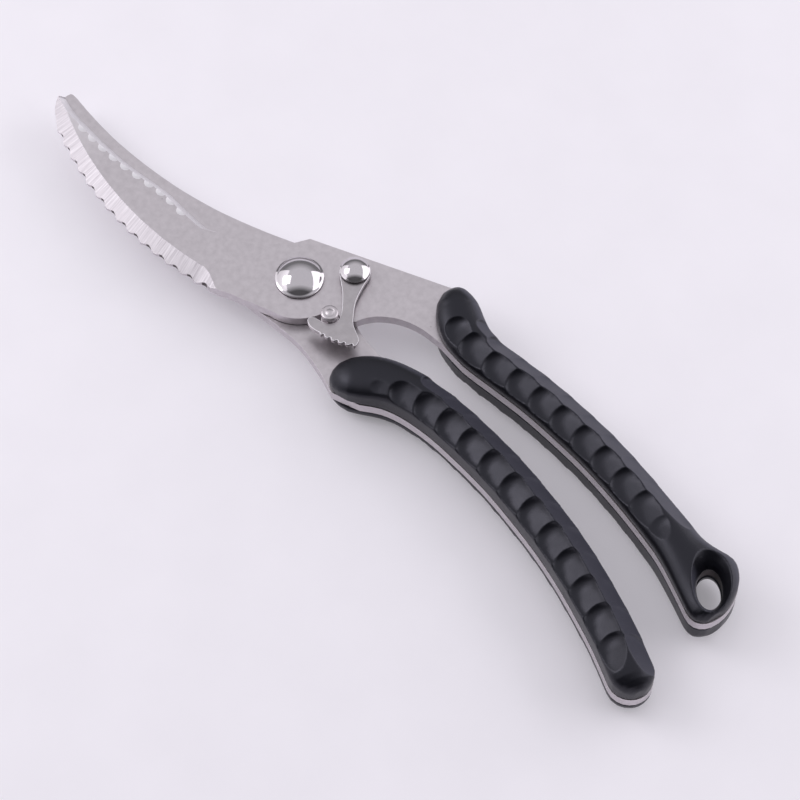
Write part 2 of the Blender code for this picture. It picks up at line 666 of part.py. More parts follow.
# Latch: flat hook in its own frame, first axis from the rivet to the stud
arm = (STUD - LATCH_AXIS).length
arm_along = (STUD - LATCH_AXIS).normalized()
arm_side = Vector((-arm_along.y, arm_along.x))
pocket = STUD_RADIUS + LATCH_POCKET_CLEARANCE


def latch_place(along, side):
    return arm_along * along + arm_side * side


neck_left = spline([(LATCH_BOSS_RADIUS * 0.47, -LATCH_BOSS_RADIUS * 0.88), (arm * 0.42, -arm * 0.045),
                    (arm * 0.64, arm * 0.07), (arm * 0.86, pocket * 0.90), (arm, pocket * 1.05)], 4)
hook_pocket = arc(Vector((arm, 0.0)), pocket, 70.0, -4.0, 5)
hook_tip = spline([(arm + pocket * 0.86, -STUD_RADIUS * 1.45), (arm + pocket * 1.05, -STUD_RADIUS * 1.92),
                   (arm + pocket * 1.45, -STUD_RADIUS * 1.98), (arm + pocket * 1.85, -STUD_RADIUS * 1.55),
                   (arm + pocket * 2.12, -STUD_RADIUS * 0.80), (arm + pocket * 2.20, 0.0)], 3)
TOOTH_FIRST = Vector((arm + pocket * 2.36, STUD_RADIUS * 0.05))
TOOTH_LAST = Vector((arm + pocket * 2.16, STUD_RADIUS * 4.32))
TOOTH_SHAPE = ((0.0, 0.0), (0.22, 0.0), (0.36, 0.85), (0.50, 1.0), (0.64, 0.85), (0.78, 0.0))
thumb = []
for number in range(LATCH_TEETH):
    for share, depth in TOOTH_SHAPE:
        spot = TOOTH_FIRST.lerp(TOOTH_LAST, (number + share) / LATCH_TEETH)
        bow = math.sin(math.pi * (number + share) / LATCH_TEETH) * LATCH_TOOTH_DEPTH
        thumb.append(Vector((spot.x + bow - depth * LATCH_TOOTH_DEPTH, spot.y)))
thumb.append(TOOTH_LAST)
thumb_back = spline([(arm + pocket * 1.92, STUD_RADIUS * 4.42), (arm + pocket * 1.36, STUD_RADIUS * 4.38),
                     (arm + pocket * 0.70, STUD_RADIUS * 3.71), (arm, STUD_RADIUS * 2.95),
                     (arm * 0.84, arm * 0.376), (arm * 0.62, arm * 0.30), (arm * 0.44, arm * 0.27),
                     (LATCH_BOSS_RADIUS * 0.55, LATCH_BOSS_RADIUS * 0.95)], 3)
boss_round = arc(PIVOT, LATCH_BOSS_RADIUS, 85.0, 275.0, 14)
latch_outline = [latch_place(*place) for place in
                 neck_left + hook_pocket + hook_tip + thumb + thumb_back + boss_round]
latch = as_part(slab("latch", latch_outline, 0.0, LATCH_THICKNESS), PLATE_STEEL, latch_axis)
latch_bore = LATCH_RIVET_RADIUS + SEAT_GAP
cut(latch, drill("latch_bore", PIVOT, latch_bore, -CUT_MARGIN, LATCH_THICKNESS + CUT_MARGIN))

latch_head = LATCH_TOP + SEAT_GAP
latch_foot = FRONT_BOTTOM + FOOT_RECESS
latch_rivet_profile = dome(LATCH_RIVET_HEAD_RADIUS, LATCH_RIVET_RIM_HEIGHT, LATCH_RIVET_DOME_HEIGHT, latch_head)
latch_rivet_profile += [(LATCH_RIVET_RADIUS, latch_head), (LATCH_RIVET_RADIUS, latch_foot + FOOT_FLARE),
                        (LATCH_RIVET_RADIUS + FOOT_FLARE, latch_foot), (0.0, latch_foot)]
latch_rivet = as_part(turned("latch_rivet", latch_rivet_profile, 20), POLISHED_STEEL, root)
latch_rivet.location = (LATCH_X, LATCH_Y, 0.0)
cut(front_blade, riveted_bore("latch_rivet_bore", LATCH_AXIS, LATCH_RIVET_RADIUS, FRONT_BOTTOM,
                              FRONT_TOP + CUT_MARGIN))
latch_washer_top = LATCH_WASHER_BOTTOM + LATCH_WASHER_THICKNESS
latch_washer_profile = [(latch_bore, latch_washer_top), (LATCH_WASHER_RADIUS, latch_washer_top),
                        (LATCH_WASHER_RADIUS, LATCH_WASHER_BOTTOM), (latch_bore, LATCH_WASHER_BOTTOM)]
latch_washer = as_part(turned("latch_washer", latch_washer_profile, 18, closed=True), POLISHED_STEEL, root)
latch_washer.location = (LATCH_X, LATCH_Y, 0.0)


def scoop(share, spot, start, count, reach):
    """Depth of the finger hollows at a place on a flank: overlapping scoops, deep at their near end."""
    shift = 0.25 * (2 * share - 1) ** 2
    phase = (spot - start) / SCOOP_PITCH - shift
    if phase <= 0 or phase >= count:
        return 0.0
    within = phase - math.floor(phase)
    ramp = min(1.0, within / 0.2) * (1 - within) ** 0.7
    return SCOOP_DEPTH * reach * ramp * math.sin(math.pi * share) ** 0.7


def grip(name, rows, seat, height, up, start, count, parent):
    """One grip scale on a tang face: straight side wall, scooped flanks and a ridge along the middle."""
    full_wall = height - GRIP_FLANK_HEIGHT
    length = rows[-1][4]
    shares = (0.25, 0.52, 0.78)
    rises = [FLANK_ROUND * (1 - (1 - share) ** 2) + (1 - FLANK_ROUND) * share for share in shares]
    sections = []
    for centre, side, right, left, spot, crown in rows:
        ridge = (left - right) / 2 + RIDGE_OFFSET * crown
        nose = max(0.0, 1 - spot / NOSE_LENGTH)
        tail = min(1.0, max(0.0, 1 - (length - spot) / TAIL_LENGTH))
        wall = full_wall * (1 - NOSE_DROP * nose ** 2 - TAIL_DROP * tail ** 2)
        profile = [(-right, 0.0), (-right + GRIP_DRAFT, wall)]
        for share, rise in zip(shares, rises):
            flank = GRIP_FLANK_HEIGHT * rise - scoop(share, spot, start, count, 1.0)
            profile.append((-right + (right + ridge) * share, wall + flank * crown))
        profile.append((ridge, wall + GRIP_FLANK_HEIGHT * crown))
        for share, rise in zip(reversed(shares), reversed(rises)):
            flank = GRIP_FLANK_HEIGHT * rise - scoop(share, spot, start, count, FAR_FLANK_SCOOP)
            profile.append((left - (left - ridge) * share, wall + flank * crown))
        profile += [(left - GRIP_DRAFT, wall), (left, 0.0)]
        ring = []
        for across, rise in profile:
            place = centre + side * across
            ring.append((place.x, place.y, seat + up * rise))
        sections.append(ring)
    return as_part(loft(name, sections), BLACK_PLASTIC, parent)


def oval(level, grow):
    ring = []
    for step in range(24):
        angle = math.tau * step / 24
        place = (HOLE_CENTRE + HOLE_AXIS * (HOLE_LENGTH / 2 + grow) * math.cos(angle)
                 + HOLE_SIDE * (HOLE_WIDTH / 2 + grow) * math.sin(angle))
        ring.append((place.x, place.y, level))
    return ring


# Front handle: both scales, hanging hole
short_height = HANDLE_THICKNESS - FRONT_TOP - SEAT_GAP
tall_height = FRONT_BOTTOM - SEAT_GAP
front_grip_upper = grip("front_grip_upper", FRONT_STATIONS, FRONT_TOP + SEAT_GAP, short_height, 1,
                        FRONT_SCOOP_START, FRONT_SCOOPS, root)
front_grip_lower = grip("front_grip_lower", FRONT_STATIONS, FRONT_BOTTOM - SEAT_GAP, tall_height, -1,
                        FRONT_SCOOP_START, FRONT_SCOOPS, root)
cut(front_blade, loft("hang_bore", [oval(FRONT_BOTTOM - CUT_MARGIN, 0.0), oval(FRONT_TOP + CUT_MARGIN, 0.0)]))
flare_slope = HOLE_FLARE / short_height
under_slope = HOLE_UNDER_FLARE / tall_height
funnel_top = HANDLE_THICKNESS + CUT_MARGIN
cut(front_grip_upper, loft("hang_funnel_upper", [
    oval(FRONT_TOP, 0.0), oval(FRONT_TOP + SEAT_GAP + CUT_MARGIN, 0.0),
    oval(funnel_top, flare_slope * (funnel_top - FRONT_TOP - SEAT_GAP))]))
cut(front_grip_lower, loft("hang_funnel_lower", [
    oval(FRONT_BOTTOM, 0.0), oval(tall_height - CUT_MARGIN, 0.0),
    oval(-CUT_MARGIN, under_slope * (tall_height + CUT_MARGIN))]))

# Back handle: both scales
back_grip_upper = grip("back_grip_upper", BACK_STATIONS, BACK_TOP + SEAT_GAP, tall_height, 1,
                       BACK_SCOOP_START, BACK_SCOOPS, pivot_axis)
back_grip_lower = grip("back_grip_lower", BACK_STATIONS, BACK_BOTTOM - SEAT_GAP, short_height, -1,
                       BACK_SCOOP_START, BACK_SCOOPS, pivot_axis)


def screws(side_name, line, setback, plate, bottom, top, lower, upper, parent):
    """Three screws from below: head sunk in the lower scale, shank through the tang into the upper scale."""
    seat = bottom - SEAT_GAP - SCREW_SEAT
    under_head = seat - SEAT_GAP
    shank = SCREW_RADIUS + SEAT_GAP
    recess = SCREW_HEAD_RADIUS + SEAT_GAP
    head_low = under_head - SCREW_HEAD_HEIGHT
    point = top + SEAT_GAP + SCREW_ENGAGEMENT
    profile = [(0.0, point), (SCREW_RADIUS * 0.5, point), (SCREW_RADIUS, point - SCREW_RADIUS),
               (SCREW_RADIUS, under_head), (SCREW_HEAD_RADIUS, under_head), (SCREW_HEAD_RADIUS, head_low),
               (SCREW_SOCKET_RADIUS, head_low), (SCREW_SOCKET_RADIUS * 0.7, head_low + SCREW_SOCKET_DEPTH),
               (0.0, head_low + SCREW_SOCKET_DEPTH)]
    spacing = (line.length - SCREW_START - setback) / (SCREW_COUNT - 1)
    for number in range(SCREW_COUNT):
        name = f"{side_name}_grip_screw_{number + 1}"
        place, ahead = line.at(SCREW_START + spacing * number)
        screw = as_part(turned(name, profile, 12), POLISHED_STEEL, parent)
        screw.location = (place.x, place.y, 0.0)
        cut(plate, drill(name + "_tang_bore", place, shank, bottom - CUT_MARGIN, top + CUT_MARGIN, 16))
        cut(upper, drill(name + "_pilot", place, shank, top, point + SEAT_GAP, 16))
        hole = turned(name + "_hole", [(0.0, bottom), (shank, bottom), (shank, seat), (recess, seat),
                                       (recess, -CUT_MARGIN), (0.0, -CUT_MARGIN)], 16)
        hole.location = (place.x, place.y, 0.0)
        cut(lower, hole)


screws("front", front_line, FRONT_SCREW_SETBACK, front_blade, FRONT_BOTTOM, FRONT_TOP, front_grip_lower,
       front_grip_upper, root)
screws("back", back_line, BACK_SCREW_SETBACK, back_blade, BACK_BOTTOM, BACK_TOP, back_grip_lower,
       back_grip_upper, pivot_axis)

# Move the whole object so that the centre of its underside is the world origin
bpy.context.view_layer.update()
graph = bpy.context.evaluated_depsgraph_get()
corners = []
for solid in parts.objects:
    if solid.type == "MESH":
        shape = solid.evaluated_get(graph)
        corners += [solid.matrix_world @ vertex.co for vertex in shape.data.vertices]
low = Vector([min(corner[i] for corner in corners) for i in range(3)])
high = Vector([max(corner[i] for corner in corners) for i in range(3)])
root.location = (-(low.x + high.x) / 2, -(low.y + high.y) / 2, -low.z)
bpy.context.view_layer.update()
print("size", [round(v * 1000, 2) for v in high - low], "pivot", [round(v, 6) for v in root.location])
print("latch axis", [round(v, 6) for v in latch_axis.matrix_world.translation])
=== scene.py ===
import json
import math

import bpy
from mathutils import Matrix, Vector


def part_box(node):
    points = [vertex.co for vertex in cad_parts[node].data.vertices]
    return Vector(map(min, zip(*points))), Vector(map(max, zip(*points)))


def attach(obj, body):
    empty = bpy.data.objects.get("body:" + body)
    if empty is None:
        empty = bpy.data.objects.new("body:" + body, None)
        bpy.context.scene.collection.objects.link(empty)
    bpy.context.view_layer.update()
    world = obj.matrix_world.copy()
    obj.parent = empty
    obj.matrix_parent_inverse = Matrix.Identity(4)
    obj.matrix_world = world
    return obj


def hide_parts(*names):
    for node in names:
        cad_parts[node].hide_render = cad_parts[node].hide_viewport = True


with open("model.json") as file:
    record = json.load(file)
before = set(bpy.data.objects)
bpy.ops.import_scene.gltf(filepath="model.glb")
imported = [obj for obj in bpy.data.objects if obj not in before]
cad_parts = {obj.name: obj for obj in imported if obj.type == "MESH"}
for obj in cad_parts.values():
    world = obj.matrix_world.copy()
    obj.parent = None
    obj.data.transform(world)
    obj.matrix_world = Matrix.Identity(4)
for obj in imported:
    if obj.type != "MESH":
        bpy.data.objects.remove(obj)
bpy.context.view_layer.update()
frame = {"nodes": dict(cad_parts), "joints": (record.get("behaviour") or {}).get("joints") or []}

# Back blade
# The lower lever: one stainless plate, stamped and ground flat, that runs from the plain cutting blade
# through the pivot to the tang inside the lower handle. Tumbling leaves its sharp edges rounded over.

MM = 0.001
EDGE_ROUND = 0.14 * MM
WELD = 0.002 * MM
FLAT_BEND = math.radians(0.6)
EDGE_BEND = math.radians(28)
SMOOTH_BEND = math.radians(32)


def only(piece):
    """Leave one object selected and active, so that operators act on it alone."""
    bpy.ops.object.select_all(action="DESELECT")
    piece.select_set(True)
    bpy.context.view_layer.objects.active = piece


def apply_modifier(piece, kind, **settings):
    """Add a modifier to a piece, set it and apply it."""
    modifier = piece.modifiers.new(kind.lower(), kind)
    for name, value in settings.items():
        setattr(modifier, name, value)
    only(piece)
    bpy.ops.object.modifier_apply(modifier=modifier.name)


def ground_copy(node, name, edge_round):
    """A merged copy of a solid plate with its edges rounded over, which stands for that plate."""
    piece = bpy.data.objects.new(name, frame["nodes"][node].data.copy())
    piece.data.materials.clear()
    bpy.context.scene.collection.objects.link(piece)
    only(piece)
    bpy.ops.object.mode_set(mode="EDIT")
    bpy.ops.mesh.select_all(action="SELECT")
    bpy.ops.mesh.remove_doubles(threshold=WELD)
    bpy.ops.mesh.dissolve_limited(angle_limit=FLAT_BEND)
    bpy.ops.object.mode_set(mode="OBJECT")
    apply_modifier(piece, "BEVEL", width=edge_round, segments=2, limit_method="ANGLE",
                   angle_limit=EDGE_BEND, use_clamp_overlap=True)
    bpy.ops.object.shade_smooth_by_angle(angle=SMOOTH_BEND)
    apply_modifier(piece, "WEIGHTED_NORMAL", keep_sharp=True)
    return piece


def linear(hex_colour):
    """An sRGB hex colour as linear red, green and blue with full alpha."""
    colour = []
    for start in (1, 3, 5):
        channel = int(hex_colour[start:start + 2], 16) / 255
        colour.append(channel / 12.92 if channel <= 0.04045 else ((channel + 0.055) / 1.055) ** 2.4)
    return (*colour, 1.0)


def add(material, kind, sockets, **settings):
    """Add a node: its own settings, and for each socket a value or the output that feeds it."""
    node = material.node_tree.nodes.new(kind)
    for name, value in settings.items():
        setattr(node, name, value)
    for socket, value in sockets.items():
        if isinstance(value, bpy.types.NodeSocket):
            material.node_tree.links.new(value, node.inputs[socket])
        else:
            node.inputs[socket].default_value = value
    return node


def begin(name):
    """A new node material and its shader."""
    material = bpy.data.materials.new(name)
    material.use_nodes = True
    return material, material.node_tree.nodes["Principled BSDF"]


def feed(material, shader, **outputs):
    """Link outputs to the shader's sockets; an underscore stands for a space in the socket's name."""
    for name, output in outputs.items():
        material.node_tree.links.new(output, shader.inputs[name.replace("_", " ")])


# Satin ground stainless: belt grinding leaves fine lines across the plate, and the steel between them is
# speckled softly. Grit lines are 0.03 mm wide and too fine to show, so they are drawn 0.22 mm wide.
LINE_WIDTH = 0.22 * MM
LINE_LENGTH = 6.0 * MM
CLOUD_SIZE = 1.8 * MM
PIT_SPACING = 7.0 * MM
PIT_SIZE = 0.05
PIT_CORE = 0.4
TIP_FROM = 70.0 * MM
TIP_TO = 104.0 * MM
TIP_HIGHLIGHT = 0.8
UPPER_PLATE = 9.5 * MM
PIVOT = Vector(frame["joints"][0]["pos_m"])


def satin_finish(name, dark, pale):
    """Ground steel between two tones; the upper plate gets a painted highlight, paler towards its tip."""
    material, shader = begin(name)
    place = add(material, "ShaderNodeTexCoord", {}).outputs["Object"]
    across_plate = add(material, "ShaderNodeMapping", {
        "Vector": place, "Scale": (1 / LINE_WIDTH, 1 / LINE_LENGTH, 1 / LINE_WIDTH)}).outputs["Vector"]
    lines = add(material, "ShaderNodeTexNoise", {
        "Vector": across_plate, "Scale": 1.0, "Detail": 3.0, "Roughness": 0.6}).outputs["Fac"]
    clouds = add(material, "ShaderNodeTexNoise", {
        "Vector": place, "Scale": 1 / CLOUD_SIZE, "Detail": 4.0, "Roughness": 0.55}).outputs["Fac"]
    pits = add(material, "ShaderNodeTexVoronoi", {"Vector": place, "Scale": 1 / PIT_SPACING})
    pit_here = add(material, "ShaderNodeMapRange", {
        "Value": pits.outputs["Distance"], "From Min": PIT_SIZE * PIT_CORE, "From Max": PIT_SIZE,
        "To Min": 0.75, "To Max": 1.0}).outputs["Result"]
    tone = add(material, "ShaderNodeMapRange", {
        "Value": clouds, "From Min": 0.3, "From Max": 0.7, "To Min": 0.0, "To Max": 1.0}).outputs["Result"]
    cloudy = add(material, "ShaderNodeMix", {
        "Factor": tone, "A": linear(dark), "B": linear(pale)}, data_type="RGBA").outputs[2]
    pitted = add(material, "ShaderNodeMix", {
        "Factor": 1.0, "A": cloudy, "B": pit_here}, data_type="RGBA", blend_type="MULTIPLY").outputs[2]
    parts = add(material, "ShaderNodeSeparateXYZ", {"Vector": place})
    # Painted highlight: the upper plate is mixed towards pale steel towards its tip.
    tip_highlight_ramp = add(material, "ShaderNodeMapRange", {
        "Value": parts.outputs["X"], "From Min": PIVOT.x - TIP_FROM, "From Max": PIVOT.x - TIP_TO,
        "To Min": 0.0, "To Max": TIP_HIGHLIGHT}).outputs["Result"]
    on_top = add(material, "ShaderNodeMath", {
        0: parts.outputs["Z"], 1: UPPER_PLATE}, operation="GREATER_THAN").outputs["Value"]
    painted_tip_highlight = add(material, "ShaderNodeMath", {0: tip_highlight_ramp, 1: on_top}, operation="MULTIPLY").outputs["Value"]
    tip_highlighted = add(material, "ShaderNodeMix", {
        "Factor": painted_tip_highlight, "A": pitted, "B": linear("#F4F0F4")}, data_type="RGBA").outputs[2]
    dull = add(material, "ShaderNodeMapRange", {
        "Value": lines, "From Min": 0.25, "From Max": 0.75, "To Min": 0.33, "To Max": 0.43}).outputs["Result"]
    scratch = add(material, "ShaderNodeBump", {
        "Height": lines, "Strength": 0.20, "Distance": 0.01 * MM}).outputs["Normal"]
    shader.inputs["Metallic"].default_value = 1.0
    feed(material, shader, Base_Color=tip_highlighted, Roughness=dull, Normal=scratch)
    return material


satin_steel = satin_finish("satin_ground_stainless", "#C6C0C4", "#D2CCD0")
back_blade = ground_copy("back_blade", "back_blade_plate", EDGE_ROUND)
back_blade.data.materials.append(satin_steel)
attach(back_blade, "back_lever")
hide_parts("back_blade")

# Torsion spring
# A coil of drawn spring wire round the pivot, in a pocket between the two plates. Its legs push the handles
# apart, and hardly any of it shows.

# Oiled spring wire: drawing leaves lines along the wire and an oxide that goes from grey to brown.
WIRE_STREAK = 0.25 * MM
spring_wire, spring_shader = begin("oiled_spring_wire")
place = add(spring_wire, "ShaderNodeTexCoord", {}).outputs["Object"]
streaks = add(spring_wire, "ShaderNodeTexNoise", {
    "Vector": place, "Scale": 1 / WIRE_STREAK, "Detail": 4.0}).outputs["Fac"]
oxide = add(spring_wire, "ShaderNodeMix", {
    "Factor": streaks, "A": linear("#5A5653"), "B": linear("#8A888A")}, data_type="RGBA").outputs[2]
drawn = add(spring_wire, "ShaderNodeBump", {
    "Height": streaks, "Strength": 0.2, "Distance": 0.02 * MM}).outputs["Normal"]
spring_shader.inputs["Metallic"].default_value = 1.0
spring_shader.inputs["Roughness"].default_value = 0.35
feed(spring_wire, spring_shader, Base_Color=oxide, Normal=drawn)
spring = frame["nodes"]["torsion_spring"]
spring.data.materials.clear()
spring.data.materials.append(spring_wire)

# Front blade
# The upper lever: the same plate stock with a wavy scaling edge on its spine, ground to a bevel across the
# edge, and a row of small scallops that stop a bone from sliding along the cutting edge.

SPINE_RADIUS = 120.0 * MM
SPINE_FORWARD = 46.0 * MM
SPINE_BELOW = 23.4 * MM
SPINE_CENTRE = Vector((PIVOT.x - SPINE_FORWARD, PIVOT.y + SPINE_RADIUS - SPINE_BELOW))
SPINE_BEVEL_WIDTH = 3.5 * MM
front_blade = ground_copy("front_blade", "front_blade_plate", EDGE_ROUND)

# Cross ground stainless: the wheel runs across the bevel, so bright lines cross it from the edge inwards.
# A 0.05 mm grit line is too fine to show and is drawn 0.25 mm wide.
GRIND_WIDTH = 0.25 * MM
GRIND_LENGTH = 6.0 * MM
ground_steel, ground_shader = begin("cross_ground_stainless")
place = add(ground_steel, "ShaderNodeTexCoord", {}).outputs["Object"]
from_centre = add(ground_steel, "ShaderNodeVectorMath", {
    0: place, 1: (SPINE_CENTRE.x, SPINE_CENTRE.y, 0.0)}, operation="SUBTRACT").outputs["Vector"]
parts = add(ground_steel, "ShaderNodeSeparateXYZ", {"Vector": from_centre})
angle = add(ground_steel, "ShaderNodeMath", {
    0: parts.outputs["X"], 1: parts.outputs["Y"]}, operation="ARCTAN2").outputs["Value"]
across_lines = add(ground_steel, "ShaderNodeMath", {
    0: angle, 1: SPINE_RADIUS / GRIND_WIDTH}, operation="MULTIPLY").outputs["Value"]
along_lines = add(ground_steel, "ShaderNodeMath", {
    0: parts.outputs["Y"], 1: 1 / GRIND_LENGTH}, operation="MULTIPLY").outputs["Value"]
grind_place = add(ground_steel, "ShaderNodeCombineXYZ", {
    "X": across_lines, "Y": along_lines}).outputs["Vector"]
grind = add(ground_steel, "ShaderNodeTexNoise", {
    "Vector": grind_place, "Scale": 0.5, "Detail": 4.0, "Roughness": 0.7}).outputs["Fac"]
sharp_grind = add(ground_steel, "ShaderNodeMapRange", {
    "Value": grind, "From Min": 0.32, "From Max": 0.68, "To Min": 0.0, "To Max": 1.0}).outputs["Result"]
bright = add(ground_steel, "ShaderNodeMix", {
    "Factor": sharp_grind, "A": linear("#A6A1A6"), "B": linear("#DAD6DA")}, data_type="RGBA").outputs[2]
grind_dull = add(ground_steel, "ShaderNodeMapRange", {
    "Value": sharp_grind, "To Min": 0.48, "To Max": 0.58}).outputs["Result"]
grind_bump = add(ground_steel, "ShaderNodeBump", {
    "Height": sharp_grind, "Strength": 0.25, "Distance": 0.015 * MM}).outputs["Normal"]
ground_shader.inputs["Metallic"].default_value = 1.0
feed(ground_steel, ground_shader, Base_Color=bright, Roughness=grind_dull, Normal=grind_bump)

# Painted edge highlight: the ground ridge, the scallops and the shear bevel are painted paler than the plate.
HIGHLIGHT_MOTTLE_SIZE = 0.5 * MM
edge_highlight, edge_highlight_shader = begin("painted_edge_highlight")
place = add(edge_highlight, "ShaderNodeTexCoord", {}).outputs["Object"]
highlight_mottle = add(edge_highlight, "ShaderNodeTexNoise", {
    "Vector": place, "Scale": 1 / HIGHLIGHT_MOTTLE_SIZE, "Detail": 3.0}).outputs["Fac"]
highlight_steel = add(edge_highlight, "ShaderNodeMix", {
    "Factor": highlight_mottle, "A": linear("#ECE9ED"), "B": linear("#FAF8FB")}, data_type="RGBA").outputs[2]
highlight_dull = add(edge_highlight, "ShaderNodeMapRange", {
    "Value": highlight_mottle, "To Min": 0.50, "To Max": 0.60}).outputs["Result"]
edge_highlight_shader.inputs["Metallic"].default_value = 1.0
feed(edge_highlight, edge_highlight_shader, Base_Color=highlight_steel, Roughness=highlight_dull)

# Painted wall shade: the walls in the notches and inside the hanging hole are painted dark as shade, and
# coarse.
WALL_MOTTLE_SIZE = 0.4 * MM
wall_shade, wall_shade_shader = begin("painted_wall_shade")
place = add(wall_shade, "ShaderNodeTexCoord", {}).outputs["Object"]
wall_mottle = add(wall_shade, "ShaderNodeTexNoise", {
    "Vector": place, "Scale": 1 / WALL_MOTTLE_SIZE, "Detail": 4.0}).outputs["Fac"]
wall_shade_tone = add(wall_shade, "ShaderNodeMix", {
    "Factor": wall_mottle, "A": linear("#4A4445"), "B": linear("#6C6567")}, data_type="RGBA").outputs[2]
wall_shade_shader.inputs["Metallic"].default_value = 1.0
wall_shade_shader.inputs["Roughness"].default_value = 0.5
feed(wall_shade, wall_shade_shader, Base_Color=wall_shade_tone)

# Walls in the notches and inside the hanging hole get painted shade, the slope on the spine is ground,
# and the ridge, the scallops and the shear bevel get a painted highlight of pale steel.
SATIN, GROUND, EDGE_HIGHLIGHT, WALL_SHADE = range(4)
HANGING_HOLE = Vector((PIVOT.x + 147.7 * MM, PIVOT.y + 13.4 * MM))
HANGING_HOLE_FROM = PIVOT.x + 138 * MM
BLADE_FROM = PIVOT.x - 12 * MM
RIDGE_FROM_CENTRE = SPINE_RADIUS - SPINE_BEVEL_WIDTH
RIDGE_INNER = RIDGE_FROM_CENTRE - 0.5 * MM
RIDGE_OUTER = RIDGE_FROM_CENTRE + 0.3 * MM
NOTCH_FLOOR = SPINE_RADIUS + 0.4 * MM
WALL_TILT = 0.25
SHEAR_TILT = 0.5
RIDGE_TILT = 0.88
SPINE_TILT = 0.985
LEVEL = 0.998
for finish in (satin_steel, ground_steel, edge_highlight, wall_shade):
    front_blade.data.materials.append(finish)
for face in front_blade.data.polygons:
    upright = face.normal.z
    # Inward facing walls of the hanging hole get painted shade.
    if face.center.x > HANGING_HOLE_FROM and abs(upright) < WALL_TILT:
        inward = face.normal.to_2d().dot(HANGING_HOLE - face.center.to_2d())
        face.material_index = WALL_SHADE if inward > 0 else SATIN
    if face.center.x > BLADE_FROM:
        continue
    out = (face.center.to_2d() - SPINE_CENTRE).length
    on_spine = out > RIDGE_INNER
    on_ridge = on_spine and out < RIDGE_OUTER
    # Notch walls get painted shade; the ridge, the shear bevel and the scallops get the painted highlight.
    if on_spine and abs(upright) < WALL_TILT and out < NOTCH_FLOOR:
        face.material_index = WALL_SHADE
    elif SHEAR_TILT < upright < LEVEL and not on_spine or RIDGE_TILT < upright < LEVEL and on_ridge:
        face.material_index = EDGE_HIGHLIGHT
    elif WALL_TILT < upright < SPINE_TILT and on_spine:
        face.material_index = GROUND
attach(front_blade, "front_lever")
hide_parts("front_blade")

# Pivot rivet, washer and cap
# A turned and polished rivet holds both plates: a low flange under a domed head on top, a steel washer and a
# pressed cap over the shank below.

TURNED_BEND = math.radians(35)
DOME_SHARE = 0.94
RIM_EASE = 0.1 * MM


def turned(name, axis, profile, sides=96):
    """A turned piece: a disc at the first radius and height, extruded ring by ring along its profile."""
    bpy.ops.object.select_all(action="DESELECT")
    radius, height = profile[0]
    bpy.ops.mesh.primitive_circle_add(vertices=sides, radius=radius, fill_type="NGON",
                                      location=(axis.x, axis.y, height))
    piece = bpy.context.object
    piece.name = name
    bpy.ops.object.transform_apply(location=True)
    bpy.ops.object.mode_set(mode="EDIT")
    bpy.ops.mesh.select_all(action="SELECT")
    for next_radius, next_height in profile[1:]:
        bpy.ops.mesh.extrude_region_move(TRANSFORM_OT_translate={"value": (0, 0, next_height - height)})
        if next_radius != radius:
            grow = next_radius / radius
            bpy.ops.transform.resize(value=(grow, grow, 1), center_override=(axis.x, axis.y, next_height))
        radius, height = next_radius, next_height
    bpy.ops.mesh.select_all(action="SELECT")
    bpy.ops.mesh.normals_make_consistent(inside=False)
    bpy.ops.object.mode_set(mode="OBJECT")
    bpy.ops.object.shade_smooth_by_angle(angle=TURNED_BEND)
    return piece


def domed_head(radius, foot, flange, lift, steepest, steps=14):
    """Profile of a domed head from its foot up: a thin flange, a small step and a round dome."""
    inner = radius * DOME_SHARE
    ball = inner / math.sin(math.radians(steepest))
    rows = [(radius - RIM_EASE, foot), (radius, foot + RIM_EASE), (radius, foot + flange - RIM_EASE),
            (radius - RIM_EASE, foot + flange), (inner, foot + flange + lift)]
    for step in range(1, steps):
        tilt = math.radians(steepest * (1 - step / steps))
        rise = ball * (math.cos(tilt) - math.cos(math.radians(steepest)))
        rows.append((ball * math.sin(tilt), foot + flange + lift + rise))
    return rows


# Polished steel: buffed to a mirror, with faint buffing hairlines and a slight orange peel.
HAIRLINE = 0.3 * MM
PEEL = 1.6 * MM
polished_steel, polished_shader = begin("buffed_polished_steel")
place = add(polished_steel, "ShaderNodeTexCoord", {}).outputs["Object"]
hairlines = add(polished_steel, "ShaderNodeTexNoise", {
    "Vector": place, "Scale": 1 / HAIRLINE, "Detail": 3.0}).outputs["Fac"]
peel = add(polished_steel, "ShaderNodeTexNoise", {
    "Vector": place, "Scale": 1 / PEEL, "Detail": 2.0}).outputs["Fac"]
silver = add(polished_steel, "ShaderNodeMix", {
    "Factor": hairlines, "A": linear("#C4BFC3"), "B": linear("#CFCBCF")}, data_type="RGBA").outputs[2]
buffed = add(polished_steel, "ShaderNodeMapRange", {
    "Value": hairlines, "To Min": 0.05, "To Max": 0.13}).outputs["Result"]
waviness = add(polished_steel, "ShaderNodeBump", {
    "Height": peel, "Strength": 0.05, "Distance": 0.05 * MM}).outputs["Normal"]
polished_shader.inputs["Metallic"].default_value = 1.0
feed(polished_steel, polished_shader, Base_Color=silver, Roughness=buffed, Normal=waviness)

PIVOT_SHANK = 4.0 * MM
PIVOT_HEAD_HEIGHT = 3.3 * MM
rivet_low, rivet_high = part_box("pivot_rivet")
head_foot = rivet_high.z - PIVOT_HEAD_HEIGHT
head_radius = (rivet_high.x - rivet_low.x) / 2
pivot_profile = [(PIVOT_SHANK, rivet_low.z), (PIVOT_SHANK, head_foot)]
pivot_profile += domed_head(head_radius, head_foot, flange=0.5 * MM, lift=0.1 * MM, steepest=44.0)
pivot_rivet = turned("pivot_rivet_polished", PIVOT, pivot_profile)
pivot_rivet.data.materials.append(polished_steel)
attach(pivot_rivet, "front_lever")
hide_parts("pivot_rivet")

